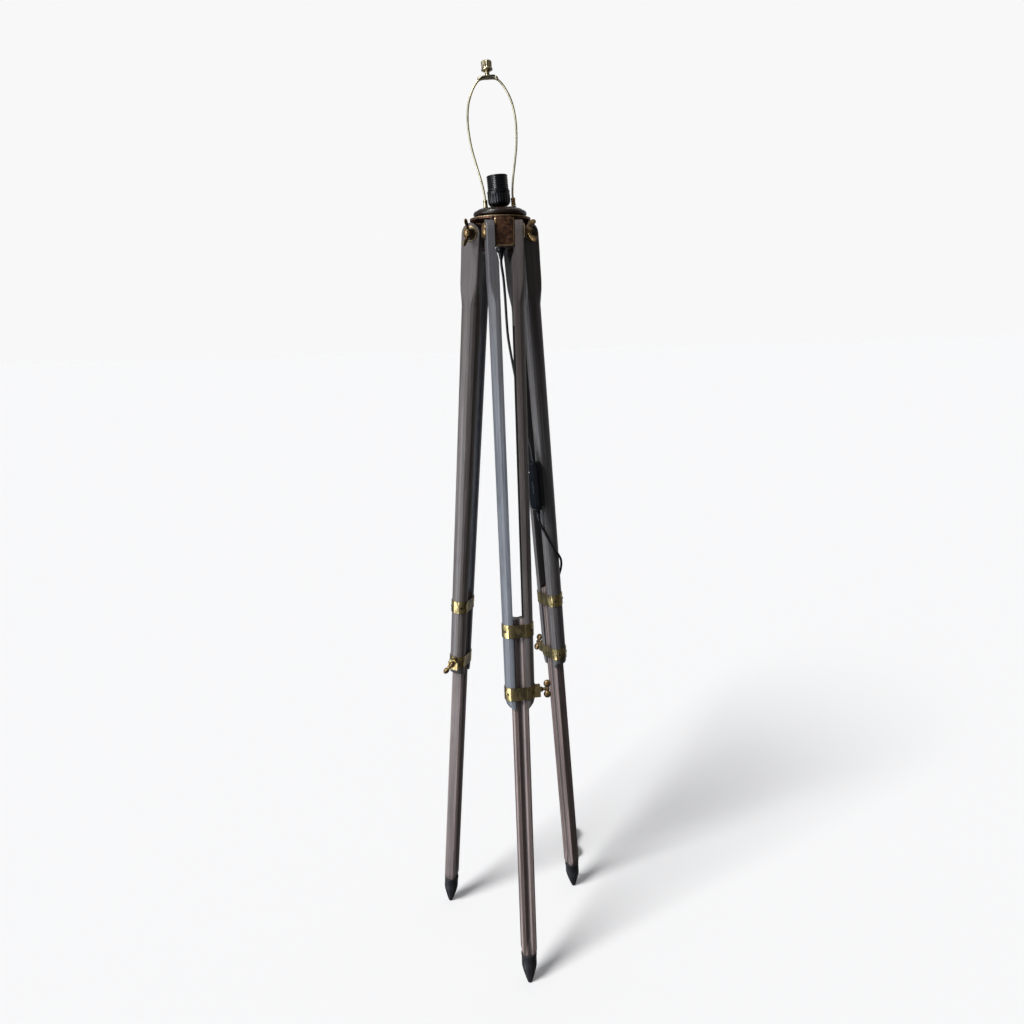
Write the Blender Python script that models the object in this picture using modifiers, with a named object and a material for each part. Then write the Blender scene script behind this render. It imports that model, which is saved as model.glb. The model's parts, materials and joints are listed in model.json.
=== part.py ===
"""A wooden field tripod carrying a bare floor-lamp fitting: three telescoping timber legs
with brass bands, a bronze head, a lamp socket under a wire harp, and a corded switch.

Metres, +Z up. The floor is z = 0 and the tripod's axis stands at (0, AXIS_Y). Each leg has
its own frame: x outward, y along its pivot bolt, z up along the leg, with the pivot at the
origin, so a distance s down the leg is z = -s.
"""

import math

import bmesh
import bpy
from mathutils import Matrix, Vector

# ---- driving dimensions -------------------------------------------------------------
GAP = 0.0003  # between pieces that touch
SPREAD = math.radians(4.89)  # each leg's lean from the vertical
PIVOT_RADIUS = 0.0455
PIVOT_HEIGHT = 1.491
LEG_LENGTH = PIVOT_HEIGHT / math.cos(SPREAD)  # pivot to the tip on the floor
FOOT_RADIUS = PIVOT_RADIUS + LEG_LENGTH * math.sin(SPREAD)
AXIS_Y = FOOT_RADIUS / 4  # brings the middle of the three feet's box to y = 0
LEG_AZIMUTHS = {"front": -90, "right": 30, "left": 150}

# head casting
FLANGE_RADIUS = 0.0554
FLANGE_THICK = 0.004
FLANGE_BOTTOM = PIVOT_HEIGHT + 0.0215
FLANGE_TOP = FLANGE_BOTTOM + FLANGE_THICK
LUG_WIDTH = 0.0363
LUG_INNER = 0.0275
LUG_OUTER = 0.0560
LUG_DROP = 0.0266  # below the pivot
LUG_ROUND = 0.004
BOSS_RADIUS = 0.013
BOSS_DROP = 0.005
PIPE_RADIUS = 0.005
PIPE_HOLE = 0.0054

# stiles, as distances down the leg from the pivot
STILE_END = 0.890
NOTCH_END = 0.0315
RUNOUT_END = 0.058
PADDLE_END = 0.072
ROUND_FROM = 0.127
BOTTOM_CURVE = 0.018
NOTCH_HALF = 0.0185  # half the gap between the stiles beside the lug
GAP_HALF_TOP = 0.0125
GAP_HALF_END = 0.0105
PAIR_HALF_TOP = 0.0335  # half the width over both stiles
PAIR_HALF_END = 0.0289
DEPTH_HALF_TOP = 0.01875
DEPTH_HALF_END = 0.01575
SHOULDER = 0.0045  # flat edge of a stile beside the gap
GROOVE_FROM = 0.165
GROOVE_HALF_WIDTH = 0.0159
GROOVE_HALF_DEPTH = 0.0124

# sliding lower leg and its shoe
SLIDER_TOP = 0.7115
SLIDER_HALF_WIDTH = 0.0155
SLIDER_HALF_DEPTH = 0.012
SLIDER_CHAMFER = 0.0026
FLUTE_HALF = 0.0065
FLUTE_DEEP = 0.004
FLUTE_END = 1.392
SHOE_LONG = 0.070
SHOE_TOP = LEG_LENGTH - SHOE_LONG
SHOE_RADIUS = 0.0160
PEG_RADIUS = 0.0078
PEG_LONG = 0.022

# brass bands and their clamp screws
BAND_HEIGHT = 0.0255
BAND_THICK = 0.0012
UPPER_BAND = 0.733
LOWER_BAND = 0.859
BOSS_OUT = 0.0105
SCREW_RADIUS = 0.003
SCREW_HOLE = 0.0033
LOBE_RADIUS = 0.0072
LOBE_SPAN = 0.0112
LOBE_OUT = 0.0255
LOBE_THICK = 0.0096
THUMB_ANGLES = {"front": 0, "right": 25, "left": -35}  # as the screws were left

# pivot bolt, washer and wing nut
BOLT_RADIUS = 0.004
BOLT_HOLE = 0.0043
BOLT_HEAD = 0.014
WASHER_THICK = 0.004
WING_HUB = 0.007
WING_HUB_LONG = 0.013
WING_HALF_SPAN = 0.0235
WING_TIP = 0.0055  # radius of a wing's rounded tip
WING_THICK = 0.0044
WING_ANGLES = {"front": 60, "right": 25, "left": 84}  # as the nuts were left

# lamp fitting, in a frame that leans a little to -X
DISC_THICK = 0.015
DISC_BOTTOM = FLANGE_TOP + GAP
DISC_TOP = DISC_BOTTOM + DISC_THICK
LAMP_LEAN = math.radians(-4.2)
LAMP_SEAT = 0.0026  # height of the leaning fitting's foot above the disc
SOCKET_RADIUS = 0.0203
SOCKET_BASE_HIGH = 0.030
SHELL_RADIUS = 0.0190
SHELL_HIGH = 0.0255
HARP_WIRE = 0.0019
HARP_FOOT = 0.0255
HARP_HIGH = 0.2130
POST_RADIUS = 0.0026
STUD_RADIUS = 0.0031
FINIAL_RADIUS = 0.010

# cord
CORD_RADIUS = 0.0025
SWITCH_LONG = 0.100
SWITCH_WIDE = 0.028
SWITCH_THICK = 0.022

ROUND_STEPS = 20


# ---- scene ------------------------------------------------------------------------
def clear_scene():
    for old in list(bpy.data.objects):
        bpy.data.objects.remove(old, do_unlink=True)


clear_scene()
parts = bpy.data.collections.new("tripod_floor_lamp")
cutters = bpy.data.collections.new("cutters")
bpy.context.scene.collection.children.link(parts)
bpy.context.scene.collection.children.link(cutters)


def material(name, color, roughness, metallic):
    made = bpy.data.materials.new(name)
    made.use_nodes = True
    shader = made.node_tree.nodes["Principled BSDF"]
    shader.inputs["Base Color"].default_value = (*color, 1)
    shader.inputs["Roughness"].default_value = roughness
    shader.inputs["Metallic"].default_value = metallic
    made.diffuse_color = (*color, 1)
    return made


WOOD = material("grey_washed_wood", (0.125, 0.100, 0.088), 0.6, 0)
BRASS = material("aged_brass", (0.42, 0.29, 0.10), 0.38, 1)
BRONZE = material("dark_bronze", (0.075, 0.045, 0.026), 0.42, 1)
LACQUER = material("dark_lacquer", (0.026, 0.015, 0.011), 0.25, 0)
BLACK_GLOSS = material("black_bakelite", (0.010, 0.010, 0.011), 0.22, 0)
BLACK_RUBBER = material("black_rubber", (0.018, 0.018, 0.020), 0.6, 0)
BLACK_PLASTIC = material("black_plastic", (0.012, 0.013, 0.015), 0.35, 0)
STEEL = material("plated_steel", (0.55, 0.53, 0.48), 0.3, 1)
WHITE = material("white_lens", (0.75, 0.75, 0.74), 0.3, 0)


# ---- building blocks ----------------------------------------------------------------
def empty(name, parent=None, location=(0, 0, 0), rotation=(0, 0, 0)):
    made = bpy.data.objects.new(name, None)
    made.location = location
    made.rotation_euler = rotation
    made.parent = parent
    bpy.context.scene.collection.objects.link(made)
    return made


def place(name, data, finish, parent=None, location=(0, 0, 0), rotation=(0, 0, 0)):
    """A part's object, or a cutter where finish is None."""
    made = bpy.data.objects.new(name, data)
    made.parent = parent
    made.location = location
    made.rotation_euler = rotation
    if finish is None:
        cutters.objects.link(made)
        made.hide_render = True
        made.display_type = "WIRE"
    else:
        parts.objects.link(made)
        data.materials.append(finish)
    return made


def mesh_of(bm, name):
    """A closed mesh with its faces pointing out, shaded smooth between soft edges."""
    bmesh.ops.recalc_face_normals(bm, faces=bm.faces)
    data = bpy.data.meshes.new(name)
    bm.to_mesh(data)
    bm.free()
    data.shade_smooth()
    data.set_sharp_from_angle(angle=math.radians(32))
    return data


def loft(name, rings):
    """Skins a run of rings, which have equal numbers of points, and caps both ends."""
    bm = bmesh.new()
    rows = [[bm.verts.new(p) for p in ring] for ring in rings]
    count = len(rows[0])
    for low, high in zip(rows, rows[1:]):
        for i in range(count):
            j = (i + 1) % count
            bm.faces.new((low[i], low[j], high[j], high[i]))
    bm.faces.new(rows[0])
    bm.faces.new(rows[-1])
    return mesh_of(bm, name)


def sleeve(name, outer, inner):
    """A closed tube between an outer pair of rings and an inner pair."""
    bm = bmesh.new()
    rows = [[bm.verts.new(p) for p in ring] for ring in (*outer, *reversed(inner))]
    count = len(rows[0])
    for low, high in zip(rows, rows[1:] + rows[:1]):
        for i in range(count):
            j = (i + 1) % count
            bm.faces.new((low[i], low[j], high[j], high[i]))
    return mesh_of(bm, name)


def block(name, low, high):
    """A box between two corners."""
    bm = bmesh.new()
    bmesh.ops.create_cube(bm, size=1)
    size = [b - a for a, b in zip(low, high)]
    middle = [(a + b) / 2 for a, b in zip(low, high)]
    bmesh.ops.scale(bm, vec=size, verts=bm.verts)
    bmesh.ops.translate(bm, vec=middle, verts=bm.verts)
    return mesh_of(bm, name)


def rod(name, radius, start, end, sides=20):
    """A cylinder between two points."""
    start, end = Vector(start), Vector(end)
    along = end - start
    bm = bmesh.new()
    bmesh.ops.create_cone(
        bm, cap_ends=True, segments=sides, radius1=radius, radius2=radius, depth=along.length
    )
    turn = along.to_track_quat("Z", "Y").to_matrix().to_4x4()
    bmesh.ops.transform(
        bm, matrix=Matrix.Translation((start + end) / 2) @ turn, verts=bm.verts
    )
    return mesh_of(bm, name)


def turned(name, profile, closed=False, steps=ROUND_STEPS):
    """A profile of (radius, height), outer side top to bottom, for a Screw about Z."""
    data = bpy.data.meshes.new(name)
    edges = [(i, i + 1) for i in range(len(profile) - 1)]
    if closed:
        edges.append((len(profile) - 1, 0))
    data.from_pydata([(r, 0, z) for r, z in profile], edges, [])
    return data, steps


def place_turned(name, spec, finish, parent=None, location=(0, 0, 0), rotation=(0, 0, 0)):
    data, steps = spec
    made = place(name, data, finish, parent, location, rotation)
    screw = made.modifiers.new("turn", "SCREW")
    screw.steps = screw.render_steps = steps
    screw.use_merge_vertices = True
    screw.merge_threshold = 0.00002
    screw.use_smooth_shade = True
    return made


def extruded(name, outline, thick):
    """A plate of the outline's (x, y) points, thick along z about z = 0."""
    rings = [[(x, y, z) for x, y in outline] for z in (-thick / 2, thick / 2)]
    return loft(name, rings)


def combine(target, other, operation):
    step = target.modifiers.new(operation.lower(), "BOOLEAN")
    step.operation = operation
    step.object = other
    step.solver = "EXACT"
    return step


def cut(target, cutter):
    combine(target, cutter, "DIFFERENCE")


def join(target, other):
    combine(target, other, "UNION")


def soften(target, width, segments=2, angle=40):
    bevel = target.modifiers.new("soften", "BEVEL")
    bevel.width = width
    bevel.segments = segments
    bevel.limit_method = "ANGLE"
    bevel.angle_limit = math.radians(angle)
    return bevel


def arc(centre, radius, start, end, count):
    """Points (x, y) round part of a circle, angles in degrees."""
    angles = [math.radians(start + (end - start) * i / (count - 1)) for i in range(count)]
    return [(centre[0] + radius * math.cos(a), centre[1] + radius * math.sin(a)) for a in angles]


def blend(low, high, share):
    share = min(max(share, 0), 1)
    return low + (high - low) * share


def smooth_route(points, spacing):
    """Points about spacing apart along a smooth curve through the route's own points."""
    route = [Vector(p) for p in points]
    ends = [route[0] * 2 - route[1], *route, route[-1] * 2 - route[-2]]
    fine = []
    for a, b, c, d in zip(ends, ends[1:], ends[2:], ends[3:]):
        for k in range(24):
            u = k / 24
            fine.append(
                0.5
                * (2 * b + (c - a) * u + (2 * a - 5 * b + 4 * c - d) * u**2
                   + (3 * b - a - 3 * c + d) * u**3)
            )
    fine.append(route[-1])
    length = sum((q - p).length for p, q in zip(fine, fine[1:]))
    count = max(2, round(length / spacing))
    even, gone, wanted = [fine[0]], 0.0, length / count
    for p, q in zip(fine, fine[1:]):
        step = (q - p).length
        while gone + step >= wanted and len(even) < count:
            even.append(p.lerp(q, (wanted - gone) / step))
            wanted += length / count
        gone += step
    even.append(fine[-1])
    return even


def wire(name, points, radius, finish, parent=None, sides=2):
    """A round wire through the points, with closed ends."""
    data = bpy.data.curves.new(name, "CURVE")
    data.dimensions = "3D"
    data.bevel_depth = radius
    data.bevel_resolution = sides
    data.use_fill_caps = True
    spline = data.splines.new("POLY")
    spline.points.add(len(points) - 1)
    for point, place_at in zip(spline.points, points):
        point.co = (*place_at, 1)
    return place(name, data, finish, parent)


# ---- leg sections -------------------------------------------------------------------
def down_leg(s):
    return min(max(s / STILE_END, 0), 1)


def pair_half(s):
    return blend(PAIR_HALF_TOP, PAIR_HALF_END, down_leg(s))


def depth_half(s):
    if s < 0:  # the rounded top, struck from the pivot
        return math.sqrt(max(DEPTH_HALF_TOP**2 - s**2, 0))
    return blend(DEPTH_HALF_TOP, DEPTH_HALF_END, down_leg(s))


def gap_half(s):
    if s <= NOTCH_END:
        return NOTCH_HALF
    if s < RUNOUT_END:
        share = (s - NOTCH_END) / (RUNOUT_END - NOTCH_END)
        return blend(NOTCH_HALF, GAP_HALF_TOP, math.sin(share * math.pi / 2))
    return blend(GAP_HALF_TOP, GAP_HALF_END, (s - RUNOUT_END) / (STILE_END - RUNOUT_END))


def squareness(s):
    """Power of the outer face's curve: 2 is a half ellipse, and 9 is nearly square."""
    share = (s - PADDLE_END) / (ROUND_FROM - PADDLE_END)
    return blend(9, 2, 0.5 - 0.5 * math.cos(math.pi * min(max(share, 0), 1)))


def outer_curve(s, offset=0.0, shrink=1.0, count=10):
    """The outer face's (x, y), from the outward edge round to the inward edge."""
    shoulder = gap_half(s) + SHOULDER
    wide = (pair_half(s) - shoulder) * shrink + offset
    deep = depth_half(s) + offset
    power = 2 / squareness(s)
    curve = []
    for i in range(count + 1):
        angle = math.pi * i / count
        c, n = math.cos(angle), max(math.sin(angle), 0)
        curve.append((math.copysign(abs(c) ** power * deep, c), shoulder + n**power * wide))
    return curve


def stile_ring(s, side, shrink=1.0):
    deep = depth_half(s)
    outline = [(-deep, gap_half(s)), (deep, gap_half(s)), *outer_curve(s, 0, shrink)]
    return [(x, side * y, -s) for x, y in outline]


def stile_mesh(name, side):
    top = [-DEPTH_HALF_TOP * math.sin(math.radians(a)) for a in (82, 60, 38, 18)]
    runout = [blend(NOTCH_END, RUNOUT_END, k / 3) for k in range(4)]
    scallop = [blend(PADDLE_END, ROUND_FROM, k / 4) for k in range(5)]
    rings = [stile_ring(s, side) for s in (*top, 0, *runout, *scallop, STILE_END - BOTTOM_CURVE)]
    for angle in (32, 56, 76):
        s = STILE_END - BOTTOM_CURVE * (1 - math.sin(math.radians(angle)))
        rings.append(stile_ring(s, side, math.cos(math.radians(angle))))
    rings.append(stile_ring(STILE_END, side, 0.1))
    return loft(name, rings)


def pair_ring(s, offset):
    """Round both stiles of a leg, offset outwards."""
    half = outer_curve(s, offset)
    other = [(-x, -y) for x, y in half]
    return [(x, y, -s) for x, y in (*half, *other)]


def slider_ring(s, flute=FLUTE_DEEP, limit=1.0):
    """The sliding leg's section: chamfered corners and a flute on both broad faces."""
    wide, deep, c = SLIDER_HALF_WIDTH, SLIDER_HALF_DEPTH, SLIDER_CHAMFER
    half = [(deep - c, wide), (deep, wide - c)]
    for k in range(7):
        y = FLUTE_HALF * math.cos(math.pi * k / 6)
        half.append((deep - flute * math.sin(math.pi * k / 6), y))
    half += [(deep, c - wide), (deep - c, -wide)]
    outline = [*half, *((-x, -y) for x, y in half)]
    ring = []
    for x, y in outline:
        scale = min(1.0, limit / math.hypot(x, y))
        ring.append((x * scale, y * scale, -s))
    return ring


def disc_ring(ring, radius, s):
    """A ring's points drawn in to a circle."""
    return [(x * radius / math.hypot(x, y), y * radius / math.hypot(x, y), -s) for x, y, _ in ring]


# ---- one leg --------------------------------------------------------------------------
def build_leg(name, azimuth, tripod):
    turn = math.radians(azimuth)
    pivot_place = (
        PIVOT_RADIUS * math.cos(turn),
        PIVOT_RADIUS * math.sin(turn),
        PIVOT_HEIGHT,
    )
    pivot = empty(name + "_pivot", tripod, pivot_place, (0, 0, turn))
    leg = empty(name + "_leg_frame", pivot, (0, 0, 0), (0, -SPREAD, 0))
    build_stiles(name, leg)
    build_bands(name, leg)
    build_slider(name, leg)
    build_thumb_screw(name, leg)
    build_pivot_hardware(name, pivot)
    return leg


def build_stiles(name, leg):
    groove = block(
        name + "_groove",
        (-GROOVE_HALF_DEPTH, -GROOVE_HALF_WIDTH, -STILE_END - 0.02),
        (GROOVE_HALF_DEPTH, GROOVE_HALF_WIDTH, -GROOVE_FROM),
    )
    groove = place(name + "_groove", groove, None, leg)
    reach = PAIR_HALF_TOP + 0.01
    hole = rod(name + "_pivot_hole", BOLT_HOLE, (0, -reach, 0), (0, reach, 0))
    hole = place(name + "_pivot_hole", hole, None, leg)
    screw_at = -LOWER_BAND
    screw_hole = rod(
        name + "_screw_hole", SCREW_HOLE, (0, 0, screw_at), (0, 0.06, screw_at), sides=16
    )
    screw_hole = place(name + "_screw_hole", screw_hole, None, leg)
    for label, side in (("bolt_side", -1), ("nut_side", 1)):
        stile_name = f"{name}_stile_{label}"
        stile = place(stile_name, stile_mesh(stile_name, side), WOOD, leg)
        cut(stile, groove)
        cut(stile, hole)
        if side == 1:
            cut(stile, screw_hole)


def build_bands(name, leg):
    reach = BAND_HEIGHT / 2
    ends = (UPPER_BAND - reach, UPPER_BAND + reach)
    inner = [pair_ring(s, GAP) for s in ends]
    outer = [pair_ring(s, GAP + BAND_THICK) for s in ends]
    upper_name = name + "_upper_band"
    place(upper_name, sleeve(upper_name, outer, inner), BRASS, leg)

    ends = (LOWER_BAND - reach, LOWER_BAND + reach)
    lower_name = name + "_lower_band"
    solid = loft(lower_name, [pair_ring(s, GAP + BAND_THICK) for s in ends])
    lower = place(lower_name, solid, BRASS, leg)
    join(lower, clamp_boss(name, leg))
    past = (LOWER_BAND - BAND_HEIGHT, LOWER_BAND + BAND_HEIGHT)
    core = loft(name + "_core", [pair_ring(s, GAP) for s in past])
    cut(lower, place(name + "_core", core, None, leg))
    start, end = (0, 0.01, -LOWER_BAND), (0, 0.06, -LOWER_BAND)
    hole = rod(name + "_boss_hole", SCREW_HOLE, start, end, 16)
    cut(lower, place(name + "_boss_hole", hole, None, leg))


def clamp_boss(name, leg):
    """The lug on the lower band's nut side that the thumb screw is threaded through."""
    out = pair_half(LOWER_BAND)
    half = 0.011
    outline = [*arc((0, 0), half, 0, 180, 11), (-half, -0.0118), (half, -0.0118)]
    rings = [
        [(x, y, z - LOWER_BAND) for x, z in outline]
        for y in (out - 0.013, out + BOSS_OUT)
    ]
    boss = place(name + "_boss", loft(name + "_boss", rings), None, leg)
    return boss


def build_slider(name, leg):
    """The sliding leg, whose square end is turned down to meet the round shoe."""
    corner = math.hypot(SLIDER_HALF_WIDTH, SLIDER_HALF_DEPTH)
    rings = [slider_ring(SLIDER_TOP), slider_ring(FLUTE_END)]
    rings.append(slider_ring(FLUTE_END + 0.010, FLUTE_DEEP * 0.6))
    turned_from = SHOE_TOP - 0.014
    rings.append(slider_ring(turned_from, FLUTE_DEEP * 0.15))
    for share in (0.35, 0.65, 0.85, 1.0):
        limit = blend(corner, SHOE_RADIUS, share**0.7)
        s = blend(turned_from, SHOE_TOP - GAP, share)
        rings.append(slider_ring(s, 0, limit))
    rings.append(disc_ring(rings[-1], PEG_RADIUS, SHOE_TOP - GAP))
    rings.append(disc_ring(rings[-1], PEG_RADIUS, SHOE_TOP + PEG_LONG))
    slider_name = name + "_sliding_leg"
    place(slider_name, loft(slider_name, rings), WOOD, leg)

    bore = PEG_RADIUS + GAP
    tip = SHOE_TOP + SHOE_LONG + 0.0012
    edge = 0.0008
    profile = [
        (bore, -SHOE_TOP),
        (SHOE_RADIUS - edge, -SHOE_TOP),
        (SHOE_RADIUS, -SHOE_TOP - edge),
    ]
    body_from, point_radius = SHOE_TOP + 0.028, 0.0045
    for k in range(6):
        share = k / 5
        radius = blend(SHOE_RADIUS, point_radius, share**1.3)
        profile.append((radius, -blend(body_from, tip - 0.001, share)))
    profile += [(point_radius - 0.0012, -tip), (0, -tip)]
    profile.append((0, -SHOE_TOP - PEG_LONG - GAP))
    profile.append((bore, -SHOE_TOP - PEG_LONG - GAP))
    shoe_name = name + "_shoe"
    shoe = place_turned(shoe_name, turned(shoe_name, profile, closed=True), BLACK_RUBBER, leg)
    floor = block(name + "_floor", (-0.6, -0.6, -0.1), (0.6, 0.6, 0))
    cut(shoe, place(name + "_floor", floor, None))


def build_thumb_screw(name, leg):
    """Turns about the clamp boss's axis, with two round lobes for finger and thumb."""
    out = pair_half(LOWER_BAND)
    origin = (0, out, -LOWER_BAND)
    tip = SLIDER_HALF_WIDTH + GAP - out
    collar = BOSS_OUT + GAP
    profile = [
        (0, LOBE_OUT),
        (SCREW_RADIUS, LOBE_OUT),
        (SCREW_RADIUS, collar + 0.004),
        (0.005, collar + 0.003),
        (0.005, collar),
        (SCREW_RADIUS, collar),
        (SCREW_RADIUS, tip),
        (0, tip),
    ]
    thumb = name + "_thumb_screw"
    screw = place_turned(
        thumb, turned(thumb, profile, steps=14), BRASS, leg, origin,
        (-math.pi / 2, math.radians(THUMB_ANGLES[name]), 0),
    )
    outline = [
        *arc((LOBE_SPAN, LOBE_OUT), LOBE_RADIUS, -140, 140, 10),
        *arc((-LOBE_SPAN, LOBE_OUT), LOBE_RADIUS, 40, 320, 10),
    ]
    plate = extruded(thumb + "_lobes", outline, LOBE_THICK)
    lobes = place(thumb + "_lobes", plate, None, screw, (0, 0, 0), (math.pi / 2, 0, math.pi / 2))
    join(screw, lobes)


def build_pivot_hardware(name, pivot):
    """Bolt through the lug, domed washer and wing nut, all on the pivot's axis."""
    seat = PAIR_HALF_TOP + GAP
    rim, crown = 0.0012, 0.0042
    dome = [(x, seat + rim + y * crown / BOLT_HEAD) for x, y in arc((0, 0), BOLT_HEAD, 90, 0, 4)]
    end = seat + WASHER_THICK + WING_HUB_LONG + 0.002
    bolt_profile = [*dome, (BOLT_HEAD, seat), (BOLT_RADIUS, seat), (BOLT_RADIUS, -end), (0, -end)]
    bolt_name = name + "_pivot_bolt"
    place_turned(
        bolt_name, turned(bolt_name, bolt_profile, steps=20), BRONZE, pivot,
        (0, 0, 0), (math.pi / 2, 0, 0),
    )
    hole = BOLT_RADIUS + GAP
    washer_profile = [
        (hole, WASHER_THICK),
        (0.0085, WASHER_THICK),
        (0.0125, WASHER_THICK * 0.6),
        (BOLT_HEAD, WASHER_THICK * 0.25),
        (BOLT_HEAD, 0),
        (hole, 0),
    ]
    washer_name = name + "_pivot_washer"
    place_turned(
        washer_name, turned(washer_name, washer_profile, closed=True, steps=20), BRASS, pivot,
        (0, seat, 0), (-math.pi / 2, 0, 0),
    )
    build_wing_nut(name, pivot, seat + WASHER_THICK + GAP, hole)


def build_wing_nut(name, pivot, seat, hole):
    nut_name = name + "_wing_nut"
    profile = [
        (hole, WING_HUB_LONG),
        (WING_HUB - 0.0012, WING_HUB_LONG),
        (WING_HUB, WING_HUB_LONG - 0.0015),
        (WING_HUB + 0.0008, 0.002),
        (WING_HUB + 0.0008, 0),
        (hole, 0),
    ]
    nut = place_turned(
        nut_name, turned(nut_name, profile, closed=True, steps=18), BRASS, pivot,
        (0, seat, 0), (-math.pi / 2, math.radians(WING_ANGLES[name]), 0),
    )
    tip = (WING_HALF_SPAN - WING_TIP, 0.0155)
    wing = [
        (0.0052, 0.0025),
        (0.0095, 0.0035),
        (0.0150, 0.0085),
        *arc(tip, WING_TIP, -50, 130, 9),
        (0.0115, 0.0135),
        (0.0052, 0.0105),
    ]
    for label, side in (("wing_a", 1), ("wing_b", -1)):
        outline = [(side * x, y) for x, y in wing]
        plate = extruded(f"{nut_name}_{label}", outline, WING_THICK)
        upright = (math.pi / 2, 0, 0)
        join(nut, place(f"{nut_name}_{label}", plate, None, nut, (0, 0, 0), upright))


# ---- head -----------------------------------------------------------------------------
def build_head(tripod):
    casting = place(
        "head_casting",
        rod("head_casting", FLANGE_RADIUS, (0, 0, FLANGE_BOTTOM), (0, 0, FLANGE_TOP), 48),
        BRONZE,
        tripod,
    )
    low, high = FLANGE_BOTTOM - BOSS_DROP, FLANGE_TOP - 0.001
    boss = rod("head_boss", BOSS_RADIUS, (0, 0, low), (0, 0, high), 28)
    join(casting, place("head_boss", boss, None, tripod))
    for name, azimuth in LEG_AZIMUTHS.items():
        turn = math.radians(azimuth)
        lug = block(
            name + "_lug",
            (LUG_INNER, -LUG_WIDTH / 2, PIVOT_HEIGHT - LUG_DROP),
            (LUG_OUTER, LUG_WIDTH / 2, FLANGE_BOTTOM + 0.001),
        )
        lug = place(name + "_lug", lug, None, tripod, (0, 0, 0), (0, 0, turn))
        soften(lug, LUG_ROUND, 2)
        join(casting, lug)
    for name, azimuth in LEG_AZIMUTHS.items():
        turn = math.radians(azimuth)
        hole = rod(
            name + "_lug_hole", BOLT_HOLE,
            (PIVOT_RADIUS, -LUG_WIDTH, PIVOT_HEIGHT), (PIVOT_RADIUS, LUG_WIDTH, PIVOT_HEIGHT),
        )
        cut(casting, place(name + "_lug_hole", hole, None, tripod, (0, 0, 0), (0, 0, turn)))
    pipe_hole = rod("pipe_hole", PIPE_HOLE, (0, 0, low - 0.02), (0, 0, high + 0.02), 24)
    cut(casting, place("pipe_hole", pipe_hole, None, tripod))


def build_top_disc(tripod):
    z = DISC_THICK
    bead = arc((0.0435, 0.0072), 0.0050, 68, -58, 6)
    profile = [
        (PIPE_HOLE, z),
        (0.0400, z),
        (0.0414, z - 0.0012),
        (0.0425, z - 0.0022),
        *bead,
        (0.0440, 0),
        (PIPE_HOLE, 0),
    ]
    place_turned(
        "top_disc", turned("top_disc", profile, closed=True, steps=44), LACQUER, tripod,
        (0, 0, DISC_BOTTOM),
    )


def build_pipe(tripod):
    """The threaded lamp pipe, its lock nut under the flange, and the cord's gland."""
    low = FLANGE_BOTTOM - BOSS_DROP - 0.010
    high = DISC_TOP + 0.0125
    inner = PIPE_RADIUS - 0.0014
    profile = [(PIPE_RADIUS, high), (PIPE_RADIUS, low), (inner, low), (inner, high)]
    place_turned(
        "lamp_pipe", turned("lamp_pipe", profile, closed=True, steps=20), STEEL, tripod
    )
    nut_top = FLANGE_BOTTOM - BOSS_DROP - GAP
    outline = arc((0, 0), 0.0098, 0, 300, 6)
    rings = [[(x, y, z) for x, y in outline] for z in (nut_top - 0.005, nut_top)]
    nut = place("pipe_nut", loft("pipe_nut", rings), BRASS, tripod)
    bore = rod("pipe_nut_bore", PIPE_HOLE, (0, 0, nut_top - 0.01), (0, 0, nut_top + 0.01), 20)
    cut(nut, place("pipe_nut_bore", bore, None, tripod))
    gland_top = low - GAP
    profile = [
        (0, 0),
        (0.0078, 0),
        (0.0090, -0.0015),
        (0.0090, -0.0355),
        (0.0084, -0.0385),
        (0.0062, -0.0405),
        (0.0046, -0.0430),
        (0.0040, -0.0500),
        (0, -0.0500),
    ]
    place_turned(
        "cord_gland", turned("cord_gland", profile, steps=24), BLACK_RUBBER, tripod,
        (0, 0, gland_top),
    )


# ---- lamp fitting ---------------------------------------------------------------------
def build_socket(lamp):
    z = SOCKET_BASE_HIGH
    profile = [
        (0.0172, z),
        (SOCKET_RADIUS - 0.0012, z),
        (SOCKET_RADIUS, z - 0.0012),
        (SOCKET_RADIUS, 0.0095),
        (SOCKET_RADIUS - 0.0022, 0.0055),
        (SOCKET_RADIUS - 0.0062, 0.0028),
        (SOCKET_RADIUS - 0.0100, 0.0020),
        (0.0062, 0.0020),
        (0.0062, 0.0155),
        (0.0172, 0.0155),
    ]
    base = turned("socket_base", profile, closed=True, steps=26)
    place_turned("socket_base", base, BLACK_GLOSS, lamp)

    low, high = z + GAP, z + SHELL_HIGH
    profile = [
        (0.0150, high),
        (SHELL_RADIUS - 0.0010, high),
        (SHELL_RADIUS, high - 0.0010),
        (SHELL_RADIUS, low),
        (0.0168, low),
        (0.0168, z - 0.006),
        (0.0150, z - 0.006),
    ]
    shell = turned("socket_shell", profile, closed=True, steps=26)
    place_turned("socket_shell", shell, BLACK_GLOSS, lamp)

    top, bottom, outer = high - 0.002, 0.0265, 0.0147
    profile = [(outer, top), (outer, bottom), (outer - 0.0008, bottom), (outer - 0.0008, top)]
    sleeve_turned = turned("socket_sleeve", profile, closed=True, steps=22)
    place_turned("socket_sleeve", sleeve_turned, BRASS, lamp)
    profile = [(0, 0.0186), (0.0030, 0.0186), (0.0048, 0.0176)]
    profile += [(0.0110, 0.0176), (0.0110, 0.0158), (0, 0.0158)]
    place_turned("socket_contact", turned("socket_contact", profile, steps=20), BRASS, lamp)


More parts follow.
